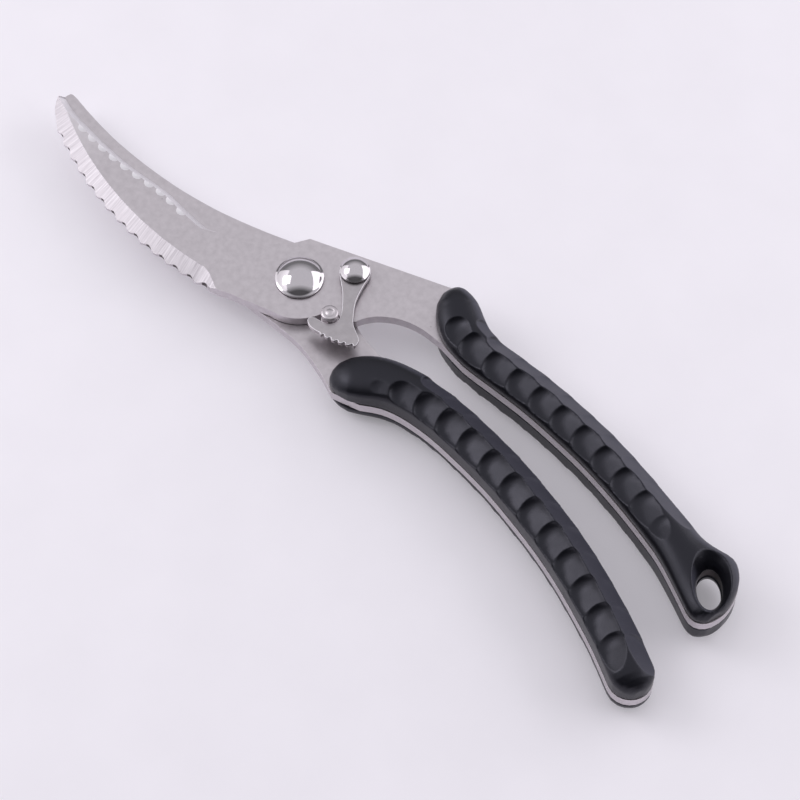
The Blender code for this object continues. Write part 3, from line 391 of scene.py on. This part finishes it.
for name, finish in (("pivot_washer", satin_steel), ("pivot_cap", polished_steel)):
    underside_piece = frame["nodes"][name]
    underside_piece.data.materials.clear()
    underside_piece.data.materials.append(finish)

# Lock stud
# A turned steel stud riveted into the back blade; the latch hooks under its button head, which the lathe
# leaves with a ring round a small nib.

FOOT_RADIUS = 2.7 * MM
FOOT_TAPER = 0.7 * MM
SHANK_RADIUS = 2.0 * MM
STUD_RADIUS = 2.5 * MM
STUD_NECK = 1.1 * MM
STUD_EASE = 0.15 * MM
COLLAR_FOOT = 9.65 * MM
COLLAR_RIM = 13.4 * MM
COLLAR_TOP = 13.55 * MM
BUTTON_HEIGHT = 1.5 * MM
BUTTON_RIM = 0.85 * MM

# The button's top from its rim to its nib: a share of its radius, and a height in millimetres.
BUTTON_TOP = [(0.96, 1.1), (0.86, 1.28), (0.74, 1.34), (0.58, 1.3), (0.5, 1.22), (0.4, 1.28), (0.3, 1.42)]
NIB_SHARE = 0.12
stud_low, stud_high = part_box("lock_stud")
stud_axis = (stud_low + stud_high) / 2
button_foot = stud_high.z - BUTTON_HEIGHT
stud_profile = [(FOOT_RADIUS, stud_low.z), (SHANK_RADIUS, stud_low.z + FOOT_TAPER),
                (SHANK_RADIUS, COLLAR_FOOT), (STUD_RADIUS, COLLAR_FOOT),
                (STUD_RADIUS, COLLAR_RIM), (STUD_RADIUS - STUD_EASE, COLLAR_TOP),
                (STUD_NECK, COLLAR_TOP), (STUD_NECK, button_foot), (STUD_RADIUS - RIM_EASE, button_foot),
                (STUD_RADIUS, button_foot + RIM_EASE), (STUD_RADIUS, button_foot + BUTTON_RIM)]
stud_profile += [(STUD_RADIUS * share, button_foot + rise * MM) for share, rise in BUTTON_TOP]
stud_profile.append((STUD_RADIUS * NIB_SHARE, stud_high.z))
lock_stud = turned("lock_stud_turned", stud_axis, stud_profile, sides=64)
lock_stud.data.materials.append(satin_steel)
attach(lock_stud, "back_lever")
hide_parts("lock_stud")

# Latch, its washer and its rivet
# A stamped steel hook with a toothed thumb edge, on a thin washer, turning under a polished domed rivet. Its
# edges are tumbled well round, so that it is smooth to the thumb.

LATCH_EDGE_ROUND = 0.28 * MM
ROUND_STEEP = 0.2
ROUND_LEVEL = 0.97
ROUND_HIGHLIGHT = 1
latch = ground_copy("latch", "latch_plate_hook", LATCH_EDGE_ROUND)

# Tumbled stainless: the same steel, a shade darker from the tumbling barrel, with a painted highlight on its
# rounded edges.
for finish in (satin_finish("tumbled_stainless", "#B2ADB0", "#BEB9BC"), edge_highlight):
    latch.data.materials.append(finish)
for face in latch.data.polygons:
    # The latch's rounded edges get the painted highlight.
    if ROUND_STEEP < face.normal.z < ROUND_LEVEL:
        face.material_index = ROUND_HIGHLIGHT
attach(latch, "latch_plate")
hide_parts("latch")

LATCH_NECK = 3.3 * MM
LATCH_NECK_HEIGHT = 2.2 * MM
LATCH_HEAD_HEIGHT = 1.9 * MM
latch_low, latch_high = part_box("latch_rivet")
latch_axis = (latch_low + latch_high) / 2
neck_foot = latch_high.z - LATCH_NECK_HEIGHT
latch_head_foot = latch_high.z - LATCH_HEAD_HEIGHT
latch_head_radius = (latch_high.x - latch_low.x) / 2
latch_profile = [(FOOT_RADIUS, latch_low.z), (SHANK_RADIUS, latch_low.z + FOOT_TAPER),
                 (SHANK_RADIUS, neck_foot), (LATCH_NECK, neck_foot), (LATCH_NECK, latch_head_foot)]
latch_profile += domed_head(latch_head_radius, latch_head_foot, flange=0.4 * MM, lift=0.1 * MM, steepest=46.0)
latch_rivet = turned("latch_rivet_polished", latch_axis, latch_profile, sides=80)
latch_rivet.data.materials.append(polished_steel)
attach(latch_rivet, "front_lever")
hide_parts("latch_rivet")

latch_washer = frame["nodes"]["latch_washer"]
latch_washer.data.materials.clear()
latch_washer.data.materials.append(polished_steel)

# Front handle scales
# Two black plastic scales, moulded to the outline of the tang and screwed together through it. Each is a
# smooth dome, cut by overlapping finger scoops that leave a ridge, with a flared hanging hole through its
# wide end.

# The middle of the handle from head to hanging hole, in millimetres from the pivot.
FRONT_LINE = [(33.9, 30.0), (38.5, 25.3), (44.4, 21.7), (51.8, 20.0), (63.0, 20.9), (74.1, 21.9),
              (85.4, 22.1), (97.7, 21.8), (110.7, 20.5), (122.9, 18.6), (134.9, 16.2), (147.7, 13.4)]
FLANK_HEIGHT = 4.5 * MM
HALF_WIDTH = 6.3 * MM
HEAD_LENGTH = 7.0 * MM
NOSE_LENGTH = 40.0 * MM
TAIL_LENGTH = 20.0 * MM
TAIL_DROP = 0.3
RIDGE_OFFSET = 0.75 * MM
LINE_STEPS = 12
END_STEP = 0.1 * MM
LOOK_FROM = 40.0 * MM
SEAT_CLEAR = 0.3 * MM


class HandleLine:
    """The smooth centre line of a handle, read by distance from its head."""

    def __init__(self, points):
        knots = [Vector((PIVOT.x + x * MM, PIVOT.y + y * MM, 0.0)) for x, y in points]
        knots = [knots[0] * 2 - knots[1], *knots, knots[-1] * 2 - knots[-2]]
        self.dots = []
        for before, start, stop, after in zip(knots, knots[1:], knots[2:], knots[3:]):
            for step in range(LINE_STEPS):
                t = step / LINE_STEPS
                bend = before * 2 - start * 5 + stop * 4 - after
                twist = start * 3 - before - stop * 3 + after
                self.dots.append((start * 2 + (stop - before) * t + bend * t ** 2 + twist * t ** 3) / 2)
        self.dots.append(knots[-2])
        self.marks = [0.0]
        for a, b in zip(self.dots, self.dots[1:]):
            self.marks.append(self.marks[-1] + (b - a).length)
        self.length = self.marks[-1]

    def at(self, distance):
        """Place, heading and left side at a distance; past either end the line goes straight on."""
        i = 0
        while i < len(self.dots) - 2 and self.marks[i + 1] < distance:
            i += 1
        heading = (self.dots[i + 1] - self.dots[i]).normalized()
        place = self.dots[i] + heading * (distance - self.marks[i])
        return place, heading, Vector((-heading.y, heading.x, 0.0))


class Scale:
    """One handle scale: the solid node it stands for, its line and the way it faces. The nose drop is the
    share of the side wall lost at the head, the ridge swing how far the ridge leaves the middle towards the
    end, and the near foot how many degrees up the dome the near scoops start."""

    def __init__(self, node, line, up, nose_drop, ridge_swing, near_foot):
        low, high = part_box(node)
        self.solid = frame["nodes"][node]
        self.line, self.up = line, up
        self.nose_drop, self.ridge_swing = nose_drop, ridge_swing
        self.near_foot = math.radians(near_foot)
        self.seat = low.z if up > 0 else high.z
        self.full_wall = high.z - low.z - FLANK_HEIGHT
        self.end = line.length
        while self.width(self.end + END_STEP):
            self.end += END_STEP

    def width(self, spot):
        """How far the solid's outline lies left and right of the line, looking in from outside."""
        place, heading, side = self.line.at(spot)
        found = []
        for way in (side, -side):
            start = place + way * LOOK_FROM + Vector((0, 0, self.seat + self.up * SEAT_CLEAR))
            hit, point = self.solid.ray_cast(start, -way, distance=2 * LOOK_FROM)[:2]
            if not hit:
                return None
            found.append((point - place).dot(way))
        return found

    def section(self, spot):
        """Left and right half widths, height of the side wall and height of the dome on it."""
        left, right = self.width(spot)
        nose = max(0.0, 1 - spot / NOSE_LENGTH)
        tail = max(0.0, 1 - (self.end - spot) / TAIL_LENGTH)
        wall = self.full_wall * (1 - self.nose_drop * nose ** 2 - TAIL_DROP * tail ** 2)
        crown = min(1.0, (left + right) / (2 * HALF_WIDTH))
        if spot < HEAD_LENGTH:
            crown = math.sqrt(1 - (1 - spot / HEAD_LENGTH) ** 2)
        return left, right, wall, FLANK_HEIGHT * crown


FIRST_STEP = 0.12 * MM
LONGEST_STEP = 2.0 * MM
STEP_GROWTH = 0.13
END_MARGIN = 0.3 * MM
LAST_SECTION = 0.15 * MM
SECTION_SIDES = 64
SEAT_LEVEL = -0.01


def moulded_blank(name, scale):
    """A scale before its scoops: a circle turned into the cross section, extruded along the handle line."""
    spots = [FIRST_STEP]
    while spots[-1] < scale.end - END_MARGIN:
        near_end = min(spots[-1], scale.end - spots[-1])
        step = min(LONGEST_STEP, FIRST_STEP + near_end * STEP_GROWTH)
        spots.append(min(spots[-1] + step, scale.end - LAST_SECTION))
    place, heading, side = scale.line.at(spots[0])
    left, right, wall, dome = scale.section(spots[0])
    half = (left + right) / 2
    centre = place + side * (left - right) / 2
    bpy.ops.object.select_all(action="DESELECT")
    bpy.ops.mesh.primitive_circle_add(
        vertices=SECTION_SIDES, radius=half, fill_type="NGON", location=(centre.x, centre.y, scale.seat),
        rotation=(math.pi / 2, 0.0, math.atan2(heading.y, heading.x) + math.pi / 2))
    piece = bpy.context.object
    piece.name = name
    bpy.ops.object.transform_apply(location=True, rotation=True)
    full = scale.full_wall + FLANK_HEIGHT
    share = scale.full_wall / full
    for vertex in piece.data.vertices:
        rise = (vertex.co.z - scale.seat) / half * scale.up
        lifted = share + (1 - share) * rise if rise > SEAT_LEVEL else 0.0
        vertex.co.z = scale.seat + scale.up * lifted * (wall + dome)
    bpy.ops.object.mode_set(mode="EDIT")
    bpy.ops.mesh.select_all(action="SELECT")
    height = wall + dome
    for spot in spots[1:]:
        place, next_heading, side = scale.line.at(spot)
        left, right, wall, dome = scale.section(spot)
        next_half = (left + right) / 2
        next_centre = place + side * (left - right) / 2
        bpy.ops.mesh.extrude_region_move(TRANSFORM_OT_translate={"value": next_centre - centre})
        foot = (next_centre.x, next_centre.y, scale.seat)
        bend = heading.to_2d().angle_signed(next_heading.to_2d())
        bpy.ops.transform.rotate(value=bend, orient_axis="Z", center_override=foot)
        grow = next_half / half
        bpy.ops.transform.resize(value=(grow, grow, (wall + dome) / height), center_override=foot)
        centre, heading, half, height = next_centre, next_heading, next_half, wall + dome
    bpy.ops.mesh.select_all(action="SELECT")
    bpy.ops.mesh.normals_make_consistent(inside=False)
    bpy.ops.object.mode_set(mode="OBJECT")
    return piece


TAIL_BLEND = 0.4
TOOL_HEIGHT = 8.0 * MM


def scoop_tool(name, radius, half_width, length, rim, head_power, tail_power):
    """The shape of one finger scoop: a ball pressed to a dish, drawn out and flattened towards the tail."""
    bpy.ops.object.select_all(action="DESELECT")
    bpy.ops.mesh.primitive_uv_sphere_add(segments=64, ring_count=40, radius=1.0)
    tool = bpy.context.object
    tool.name = name
    for vertex in tool.data.vertices:
        x, y, z = vertex.co
        reach = min(1.0, math.hypot(x, y))
        power = head_power + (tail_power - head_power) * min(1.0, max(0.0, x / TAIL_BLEND))
        dish = rim * (1 - (1 - reach ** power) ** (1 / power))
        stretch = radius + length if x > 0 else radius
        vertex.co = (radius + stretch * x, half_width * y, dish if z < 0 else rim + TOOL_HEIGHT * z)
    return tool


def cut(piece, tool):
    """Cut a tool's shape out of a piece."""
    bpy.context.view_layer.update()
    apply_modifier(piece, "BOOLEAN", object=tool, operation="DIFFERENCE", solver="MANIFOLD")


READ_AHEAD = 4.0 * MM
SWING_RUN = 40.0 * MM
SWING_DELAY = 1.75
RIDGE_LAP = 0.6 * MM
FAR_DROP = 0.2


def scoop(piece, scale, tool, spot, far, depth, slope):
    """Cut one scoop into a flank, its head end at a distance along the line, its floor rising to the tail."""
    place = scale.line.at(spot)[0]
    heading, side = scale.line.at(spot + READ_AHEAD)[1:]
    left, right, wall, dome = scale.section(spot + READ_AHEAD)
    upward = Vector((0, 0, scale.up))
    swing = scale.ridge_swing * max(0.0, spot / SWING_RUN - SWING_DELAY)
    ridge = place + side * ((left - right) / 2 + RIDGE_OFFSET + swing) + upward * (wall + dome)
    if far:
        foot = place + side * left + upward * wall * (1 - FAR_DROP)
    else:
        foot = place - side * right * math.cos(scale.near_foot)
        foot += upward * (wall + dome * math.sin(scale.near_foot))
    chord = (ridge - foot).normalized()
    normal = (upward - chord * upward.dot(chord)).normalized()
    middle = (ridge + foot) / 2 + chord * RIDGE_LAP + Vector((0, 0, scale.seat))
    tilt = math.radians(slope)
    run = heading * math.cos(tilt) + normal * math.sin(tilt)
    rise = normal * math.cos(tilt) - heading * math.sin(tilt)
    across = rise.cross(run)
    axes = Matrix((run, across, rise)).transposed().to_4x4()
    axes.translation = middle - normal * depth
    tool.matrix_world = axes
    cut(piece, tool)


# The far row is one long chamfer in shallow steps; the near row is deep at each head and runs out at each
# tail. Depths are in millimetres and slopes in degrees.
NEAR_DEPTH = 1.95
NEAR_SLOPE = 10.5
LAST_SLOPE = 14.0
FAR_DEPTH = 0.35
FAR_SLOPE = 2.2
near_tool = scoop_tool("near_scoop_tool", radius=4.8 * MM, half_width=5.2 * MM, length=6.0 * MM,
                       rim=3.2 * MM, head_power=2.6, tail_power=5.0)
far_tool = scoop_tool("far_scoop_tool", radius=6.5 * MM, half_width=6.5 * MM, length=8.0 * MM,
                      rim=2.4 * MM, head_power=4.5, tail_power=6.0)


def scoop_rows(piece, scale, near_spots, far_spots):
    """Both rows of scoops, each at a distance and a depth; the last near one runs out sooner."""
    for spot, depth in near_spots:
        slope = LAST_SLOPE if spot == near_spots[-1][0] else NEAR_SLOPE
        scoop(piece, scale, near_tool, spot * MM, False, depth * MM, slope)
    for spot, depth in far_spots:
        scoop(piece, scale, far_tool, spot * MM, True, depth * MM, FAR_SLOPE)


# The first scoop is cut shallow over a screw, and the last ones fade into the wide end.
FRONT_NEAR_PITCH = 8.44
FRONT_FAR_PITCH = 8.45
FRONT_NEAR = [(11.6, 1.25), *((17.84 + FRONT_NEAR_PITCH * i, NEAR_DEPTH) for i in range(8)),
              (85.4, 1.6), (93.8, 0.9)]
FRONT_FAR = [(15.5, -0.6), *((22.7 + FRONT_FAR_PITCH * i, FAR_DEPTH) for i in range(8))]

front_line = HandleLine(FRONT_LINE)
front_upper_scale = Scale("front_grip_upper", front_line, up=1,
                          nose_drop=0.3, ridge_swing=1.0 * MM, near_foot=25)
front_lower_scale = Scale("front_grip_lower", front_line, up=-1,
                          nose_drop=0.75, ridge_swing=1.0 * MM, near_foot=0)
front_upper = moulded_blank("front_scale_upper", front_upper_scale)
front_lower = moulded_blank("front_scale_lower", front_lower_scale)
for piece, scale in ((front_upper, front_upper_scale), (front_lower, front_lower_scale)):
    scoop_rows(piece, scale, FRONT_NEAR, FRONT_FAR)


# Hanging hole: an oval bore through the tang that flares like a trumpet through either scale.
HOLE_CENTRE, HOLE_ALONG, HOLE_ACROSS = front_line.at(front_line.length)
HOLE_LONG = 5.9 * MM
HOLE_SHORT = 3.4 * MM
HOLE_TURN = math.radians(-34.0)
UPPER_FLARE = [(-0.6, 0.0), (0.4, 0.05), (1.6, 0.4), (2.8, 0.9), (4.0, 1.55), (5.2, 2.3), (6.4, 3.2)]
LOWER_FLARE = [(-0.6, 0.0), (0.5, 0.05), (2.5, 0.3), (4.5, 0.9), (6.2, 1.7), (7.6, 2.6), (9.6, 4.2)]
UPPER_LEAN = 0.25
LOWER_LEAN = 0.6


def funnel_tool(name, scale, flare, lean):
    """The flared hole through one scale: an oval at the tang, extruded outwards and widened step by step."""
    bpy.ops.object.select_all(action="DESELECT")
    reach, growth = flare[0]
    height = scale.seat + scale.up * reach * MM
    turn = HOLE_TURN + math.atan2(HOLE_ALONG.y, HOLE_ALONG.x)
    bpy.ops.mesh.primitive_circle_add(vertices=72, radius=1.0, fill_type="NGON",
                                      location=(HOLE_CENTRE.x, HOLE_CENTRE.y, height), rotation=(0, 0, turn))
    tool = bpy.context.object
    tool.name = name
    tool.scale = (HOLE_LONG, HOLE_SHORT, 1.0)
    bpy.ops.object.transform_apply(location=True, rotation=True, scale=True)
    bpy.ops.object.mode_set(mode="EDIT")
    bpy.ops.mesh.select_all(action="SELECT")
    middle = Vector((HOLE_CENTRE.x, HOLE_CENTRE.y, height))
    for next_reach, next_growth in flare[1:]:
        aside = HOLE_ACROSS * lean * (next_growth - growth) * MM
        step = aside + Vector((0, 0, scale.up * (next_reach - reach) * MM))
        bpy.ops.mesh.extrude_region_move(TRANSFORM_OT_translate={"value": step})
        middle += step
        widen = (HOLE_SHORT + next_growth * MM) / (HOLE_SHORT + growth * MM)
        bpy.ops.transform.resize(value=(widen, widen, 1.0), center_override=middle)
        reach, growth = next_reach, next_growth
    bpy.ops.mesh.select_all(action="SELECT")
    bpy.ops.mesh.normals_make_consistent(inside=False)
    bpy.ops.object.mode_set(mode="OBJECT")
    return tool


for piece, scale, flare, lean in ((front_upper, front_upper_scale, UPPER_FLARE, UPPER_LEAN),
                                  (front_lower, front_lower_scale, LOWER_FLARE, LOWER_LEAN)):
    funnel = funnel_tool("funnel_tool", scale, flare, lean)
    cut(piece, funnel)
    bpy.data.objects.remove(funnel)


# Screw holes: each lower scale is bored through with a wide recess for the head, each upper one bored blind.
HOLE_PLAY = 0.3 * MM
SCREW_RADIUS = 1.4 * MM
SCREW_HEAD_HEIGHT = 1.6 * MM
BORE_OVERRUN = 1.0 * MM
TIP_PLAY = 0.1 * MM


def screw_holes(upper, upper_scale, lower, lower_scale, screws):
    """Bore the holes for a handle's screws in both of its scales."""
    for node in screws:
        low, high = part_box(node)
        axis = (low + high) / 2
        recess = (high.x - low.x) / 2 + HOLE_PLAY
        bore = SCREW_RADIUS + HOLE_PLAY
        shoulder = low.z + SCREW_HEAD_HEIGHT + HOLE_PLAY
        through = turned("through_hole", axis, [
            (recess, -BORE_OVERRUN), (recess, shoulder), (bore, shoulder),
            (bore, lower_scale.seat + BORE_OVERRUN)], sides=32)
        blind = turned("blind_hole", axis, [
            (bore, upper_scale.seat - BORE_OVERRUN), (bore, high.z - SCREW_RADIUS),
            (bore - SCREW_RADIUS / 2, high.z + TIP_PLAY)], sides=32)
        cut(lower, through)
        cut(upper, blind)
        bpy.data.objects.remove(through)
        bpy.data.objects.remove(blind)


screw_holes(front_upper, front_upper_scale, front_lower, front_lower_scale,
            [node for node in frame["nodes"] if "front_grip_screw" in node])


def soften(piece, grain):
    """Even out the cut mesh and ease every edge, as a mould does."""
    apply_modifier(piece, "REMESH", mode="VOXEL", voxel_size=grain)
    apply_modifier(piece, "SMOOTH", factor=0.5, iterations=3)
    bpy.ops.object.shade_smooth()


FLANK_ASIDE = 0.35
FLANK_UP = 0.2
FLANK_FADE = 0.2


def mark_far_flank_sheen(piece):
    """Mark how fully each point lies on the far flank, which gets a painted sheen, greyer and more matt."""
    marks = piece.data.attributes.new("painted_far_flank_sheen", "FLOAT", "POINT")
    for vertex, mark in zip(piece.data.vertices, marks.data):
        aside = min(1.0, max(0.0, (vertex.normal.y - FLANK_ASIDE) / FLANK_FADE))
        upward = min(1.0, max(0.0, (vertex.normal.z - FLANK_UP) / FLANK_FADE))
        mark.value = aside * upward


# Moulded black plastic: spark eroded mould walls leave a fine grain that breaks up a soft satin shine, and
# handling leaves the shine uneven. The far flanks get a painted sheen, greyer and more matt. Grain is 0.05 mm
# and too fine to show, so it is drawn 0.35 mm wide.
GRAIN_SIZE = 0.35 * MM
SMEAR_SIZE = 6.0 * MM
FAR_FLANK_MATT = 0.14
black_plastic, plastic_shader = begin("moulded_black_plastic")
place = add(black_plastic, "ShaderNodeTexCoord", {}).outputs["Object"]
grain = add(black_plastic, "ShaderNodeTexNoise", {
    "Vector": place, "Scale": 1 / GRAIN_SIZE, "Detail": 2.0, "Roughness": 0.6}).outputs["Fac"]
smears = add(black_plastic, "ShaderNodeTexNoise", {
    "Vector": place, "Scale": 1 / SMEAR_SIZE, "Detail": 4.0, "Roughness": 0.6}).outputs["Fac"]
black = add(black_plastic, "ShaderNodeMix", {
    "Factor": grain, "A": linear("#0B0B10"), "B": linear("#15151B")}, data_type="RGBA").outputs[2]
sheen = add(black_plastic, "ShaderNodeMapRange", {
    "Value": smears, "From Min": 0.3, "From Max": 0.7, "To Min": 0.29, "To Max": 0.38}).outputs["Result"]
grained = add(black_plastic, "ShaderNodeBump", {
    "Height": grain, "Strength": 0.6, "Distance": 0.05 * MM}).outputs["Normal"]
plastic_shader.inputs["Specular IOR Level"].default_value = 0.48
plastic_shader.inputs["Specular Tint"].default_value = linear("#E6E6F6")
# Painted sheen: the far flank mark mixes the black towards grey and raises the roughness there.
painted_far_flank_sheen = add(black_plastic, "ShaderNodeAttribute", {}, attribute_name="painted_far_flank_sheen").outputs["Fac"]
sheen_greyed_black = add(black_plastic, "ShaderNodeMix", {
    "Factor": painted_far_flank_sheen, "A": black, "B": linear("#3A3A44")}, data_type="RGBA").outputs[2]
matt = add(black_plastic, "ShaderNodeMath", {
    0: painted_far_flank_sheen, 1: FAR_FLANK_MATT, 2: sheen}, operation="MULTIPLY_ADD").outputs["Value"]
feed(black_plastic, plastic_shader, Base_Color=sheen_greyed_black, Roughness=matt, Normal=grained)

VOXEL = 0.26 * MM
for piece, node in ((front_upper, "front_grip_upper"), (front_lower, "front_grip_lower")):
    soften(piece, VOXEL)
    mark_far_flank_sheen(piece)
    piece.data.materials.clear()
    piece.data.materials.append(black_plastic)
    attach(piece, "front_lever")
    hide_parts(node)

# Back handle scales
# The same two black plastic scales on the lower lever, moulded with a plain round end and screwed on in the
# same way. The first scoops behind the head are smaller.

BACK_LINE = [(29.8, -15.8), (33.4, -12.2), (40.5, -6.3), (49.3, -3.0), (60.3, -1.3), (72.1, -1.05),
             (84.2, -1.6), (95.5, -2.9), (107.9, -4.95), (119.0, -7.6), (129.8, -10.9), (139.9, -14.4),
             (149.8, -18.6), (156.1, -21.2)]
BACK_NEAR_PITCH = 9.02
BACK_FAR_PITCH = 8.77
BACK_NEAR = [(12.0, -0.3), (19.6, 0.9), (27.8, 1.6), (36.2, NEAR_DEPTH),
             *((44.64 + BACK_NEAR_PITCH * i, NEAR_DEPTH) for i in range(8)), (116.8, 1.7)]
BACK_FAR = [(24.9, -0.2), (32.5, 0.2), (40.1, FAR_DEPTH),
            *((47.7 + BACK_FAR_PITCH * i, FAR_DEPTH) for i in range(9))]
back_line = HandleLine(BACK_LINE)
back_upper_scale = Scale("back_grip_upper", back_line, up=1, nose_drop=0.75, ridge_swing=0.0, near_foot=5)
back_lower_scale = Scale("back_grip_lower", back_line, up=-1, nose_drop=0.75, ridge_swing=0.0, near_foot=0)
back_upper = moulded_blank("back_scale_upper", back_upper_scale)
back_lower = moulded_blank("back_scale_lower", back_lower_scale)
for piece, scale in ((back_upper, back_upper_scale), (back_lower, back_lower_scale)):
    scoop_rows(piece, scale, BACK_NEAR, BACK_FAR)
screw_holes(back_upper, back_upper_scale, back_lower, back_lower_scale,
            [node for node in frame["nodes"] if "back_grip_screw" in node])
for piece, node in ((back_upper, "back_grip_upper"), (back_lower, "back_grip_lower")):
    soften(piece, VOXEL)
    mark_far_flank_sheen(piece)
    piece.data.materials.clear()
    piece.data.materials.append(black_plastic)
    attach(piece, "back_lever")
    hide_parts(node)

bpy.data.objects.remove(near_tool)
bpy.data.objects.remove(far_tool)

# Grip screws
# Six plated socket screws, three in each handle. They are driven from below through the tangs, with their
# heads sunk in the lower scales.

for node in frame["nodes"]:
    if "screw" in node:
        frame["nodes"][node].data.materials.clear()
        frame["nodes"][node].data.materials.append(polished_steel)

# Floor, light and camera
# A pale table top with a faint glow of its own, a wide soft lamp at each side, and a small key lamp higher up
# on the left. The grey room is brightest overhead and dark on the camera's side.

FLOOR_SIZE = 6.0
FLOOR_DROP = 0.3 * MM
MOTTLE_SIZE = 25.0 * MM
GLOW = 0.27
bpy.ops.object.select_all(action="DESELECT")
bpy.ops.mesh.primitive_plane_add(size=FLOOR_SIZE, location=(0, 0, -FLOOR_DROP))
floor = bpy.context.object
floor.name = "table_top"

# Matt laminate: pale all over, with a faint mottle.
table, table_shader = begin("pale_table_top")
place = add(table, "ShaderNodeTexCoord", {}).outputs["Object"]
mottle = add(table, "ShaderNodeTexNoise", {
    "Vector": place, "Scale": 1 / MOTTLE_SIZE, "Detail": 3.0}).outputs["Fac"]
pale = add(table, "ShaderNodeMix", {
    "Factor": mottle, "A": linear("#DBD8DE"), "B": linear("#E1DEE4")}, data_type="RGBA").outputs[2]
table_shader.inputs["Roughness"].default_value = 0.7
table_shader.inputs["Emission Strength"].default_value = GLOW
feed(table, table_shader, Base_Color=pale, Emission_Color=pale)
floor.data.materials.append(table)

CAMERA_PLACE = Vector((0.292231, -0.264152, 0.64657))
CAMERA_TARGET = Vector((0.013841, -0.004542, 0.00035))
LENS = 119.7
look = CAMERA_TARGET - CAMERA_PLACE
bpy.ops.object.camera_add(location=CAMERA_PLACE, rotation=look.to_track_quat("-Z", "Y").to_euler())
camera = bpy.context.object
camera.data.lens = LENS
bpy.context.scene.camera = camera

# Right and away on the table, as the camera stands. Each lamp has a name, metres to the right, metres up, a
# width, a height and its watts.
RIGHT_WAY = Vector((0.682, 0.731, 0.0))
AWAY = Vector((-0.731, 0.682, 0.0))
LAMPS = [("left_softbox", -0.60, 0.28, 0.9, 0.5, 1.3), ("right_softbox", 0.60, 0.28, 0.9, 0.5, 2.3),
         ("key_softbox", -0.50, 0.50, 0.34, 0.34, 0.95)]
LAMP_AWAY = 0.12
LAMP_AIM = Vector((0.02, 0.0, 0.0))
for name, sideways, up, wide, tall, watts in LAMPS:
    spot = RIGHT_WAY * sideways + AWAY * LAMP_AWAY + Vector((0, 0, up))
    aim = LAMP_AIM - spot
    bpy.ops.object.light_add(type="AREA", location=spot, rotation=aim.to_track_quat("-Z", "Y").to_euler())
    lamp = bpy.context.object
    lamp.name = name
    lamp.data.shape = "RECTANGLE"
    lamp.data.size = wide
    lamp.data.size_y = tall
    lamp.data.energy = watts
    lamp.data.color = linear("#FAF7FB")[:3]
    lamp.visible_camera = False

world = bpy.data.worlds.new("grey_room")
bpy.context.scene.world = world
world.use_nodes = True
room = world.node_tree.nodes["Background"]
direction = add(world, "ShaderNodeTexCoord", {}).outputs["Generated"]
height_up = add(world, "ShaderNodeSeparateXYZ", {"Vector": direction}).outputs["Z"]
ceiling = add(world, "ShaderNodeMapRange", {
    "Value": height_up, "From Min": 0.25, "From Max": 0.70, "To Min": 0.26, "To Max": 0.80}).outputs["Result"]
near_side = add(world, "ShaderNodeVectorMath", {
    0: direction, 1: -AWAY}, operation="DOT_PRODUCT").outputs["Value"]
near_shade = add(world, "ShaderNodeMapRange", {
    "Value": near_side, "From Min": 0.28, "From Max": 0.58,
    "To Min": 1.0, "To Max": 0.15}).outputs["Result"]
brightness = add(world, "ShaderNodeMath", {
    0: ceiling, 1: near_shade}, operation="MULTIPLY").outputs["Value"]
world.node_tree.links.new(brightness, room.inputs["Strength"])
room.inputs["Color"].default_value = linear("#FBFAFF")
bpy.context.scene.view_settings.view_transform = "Standard"
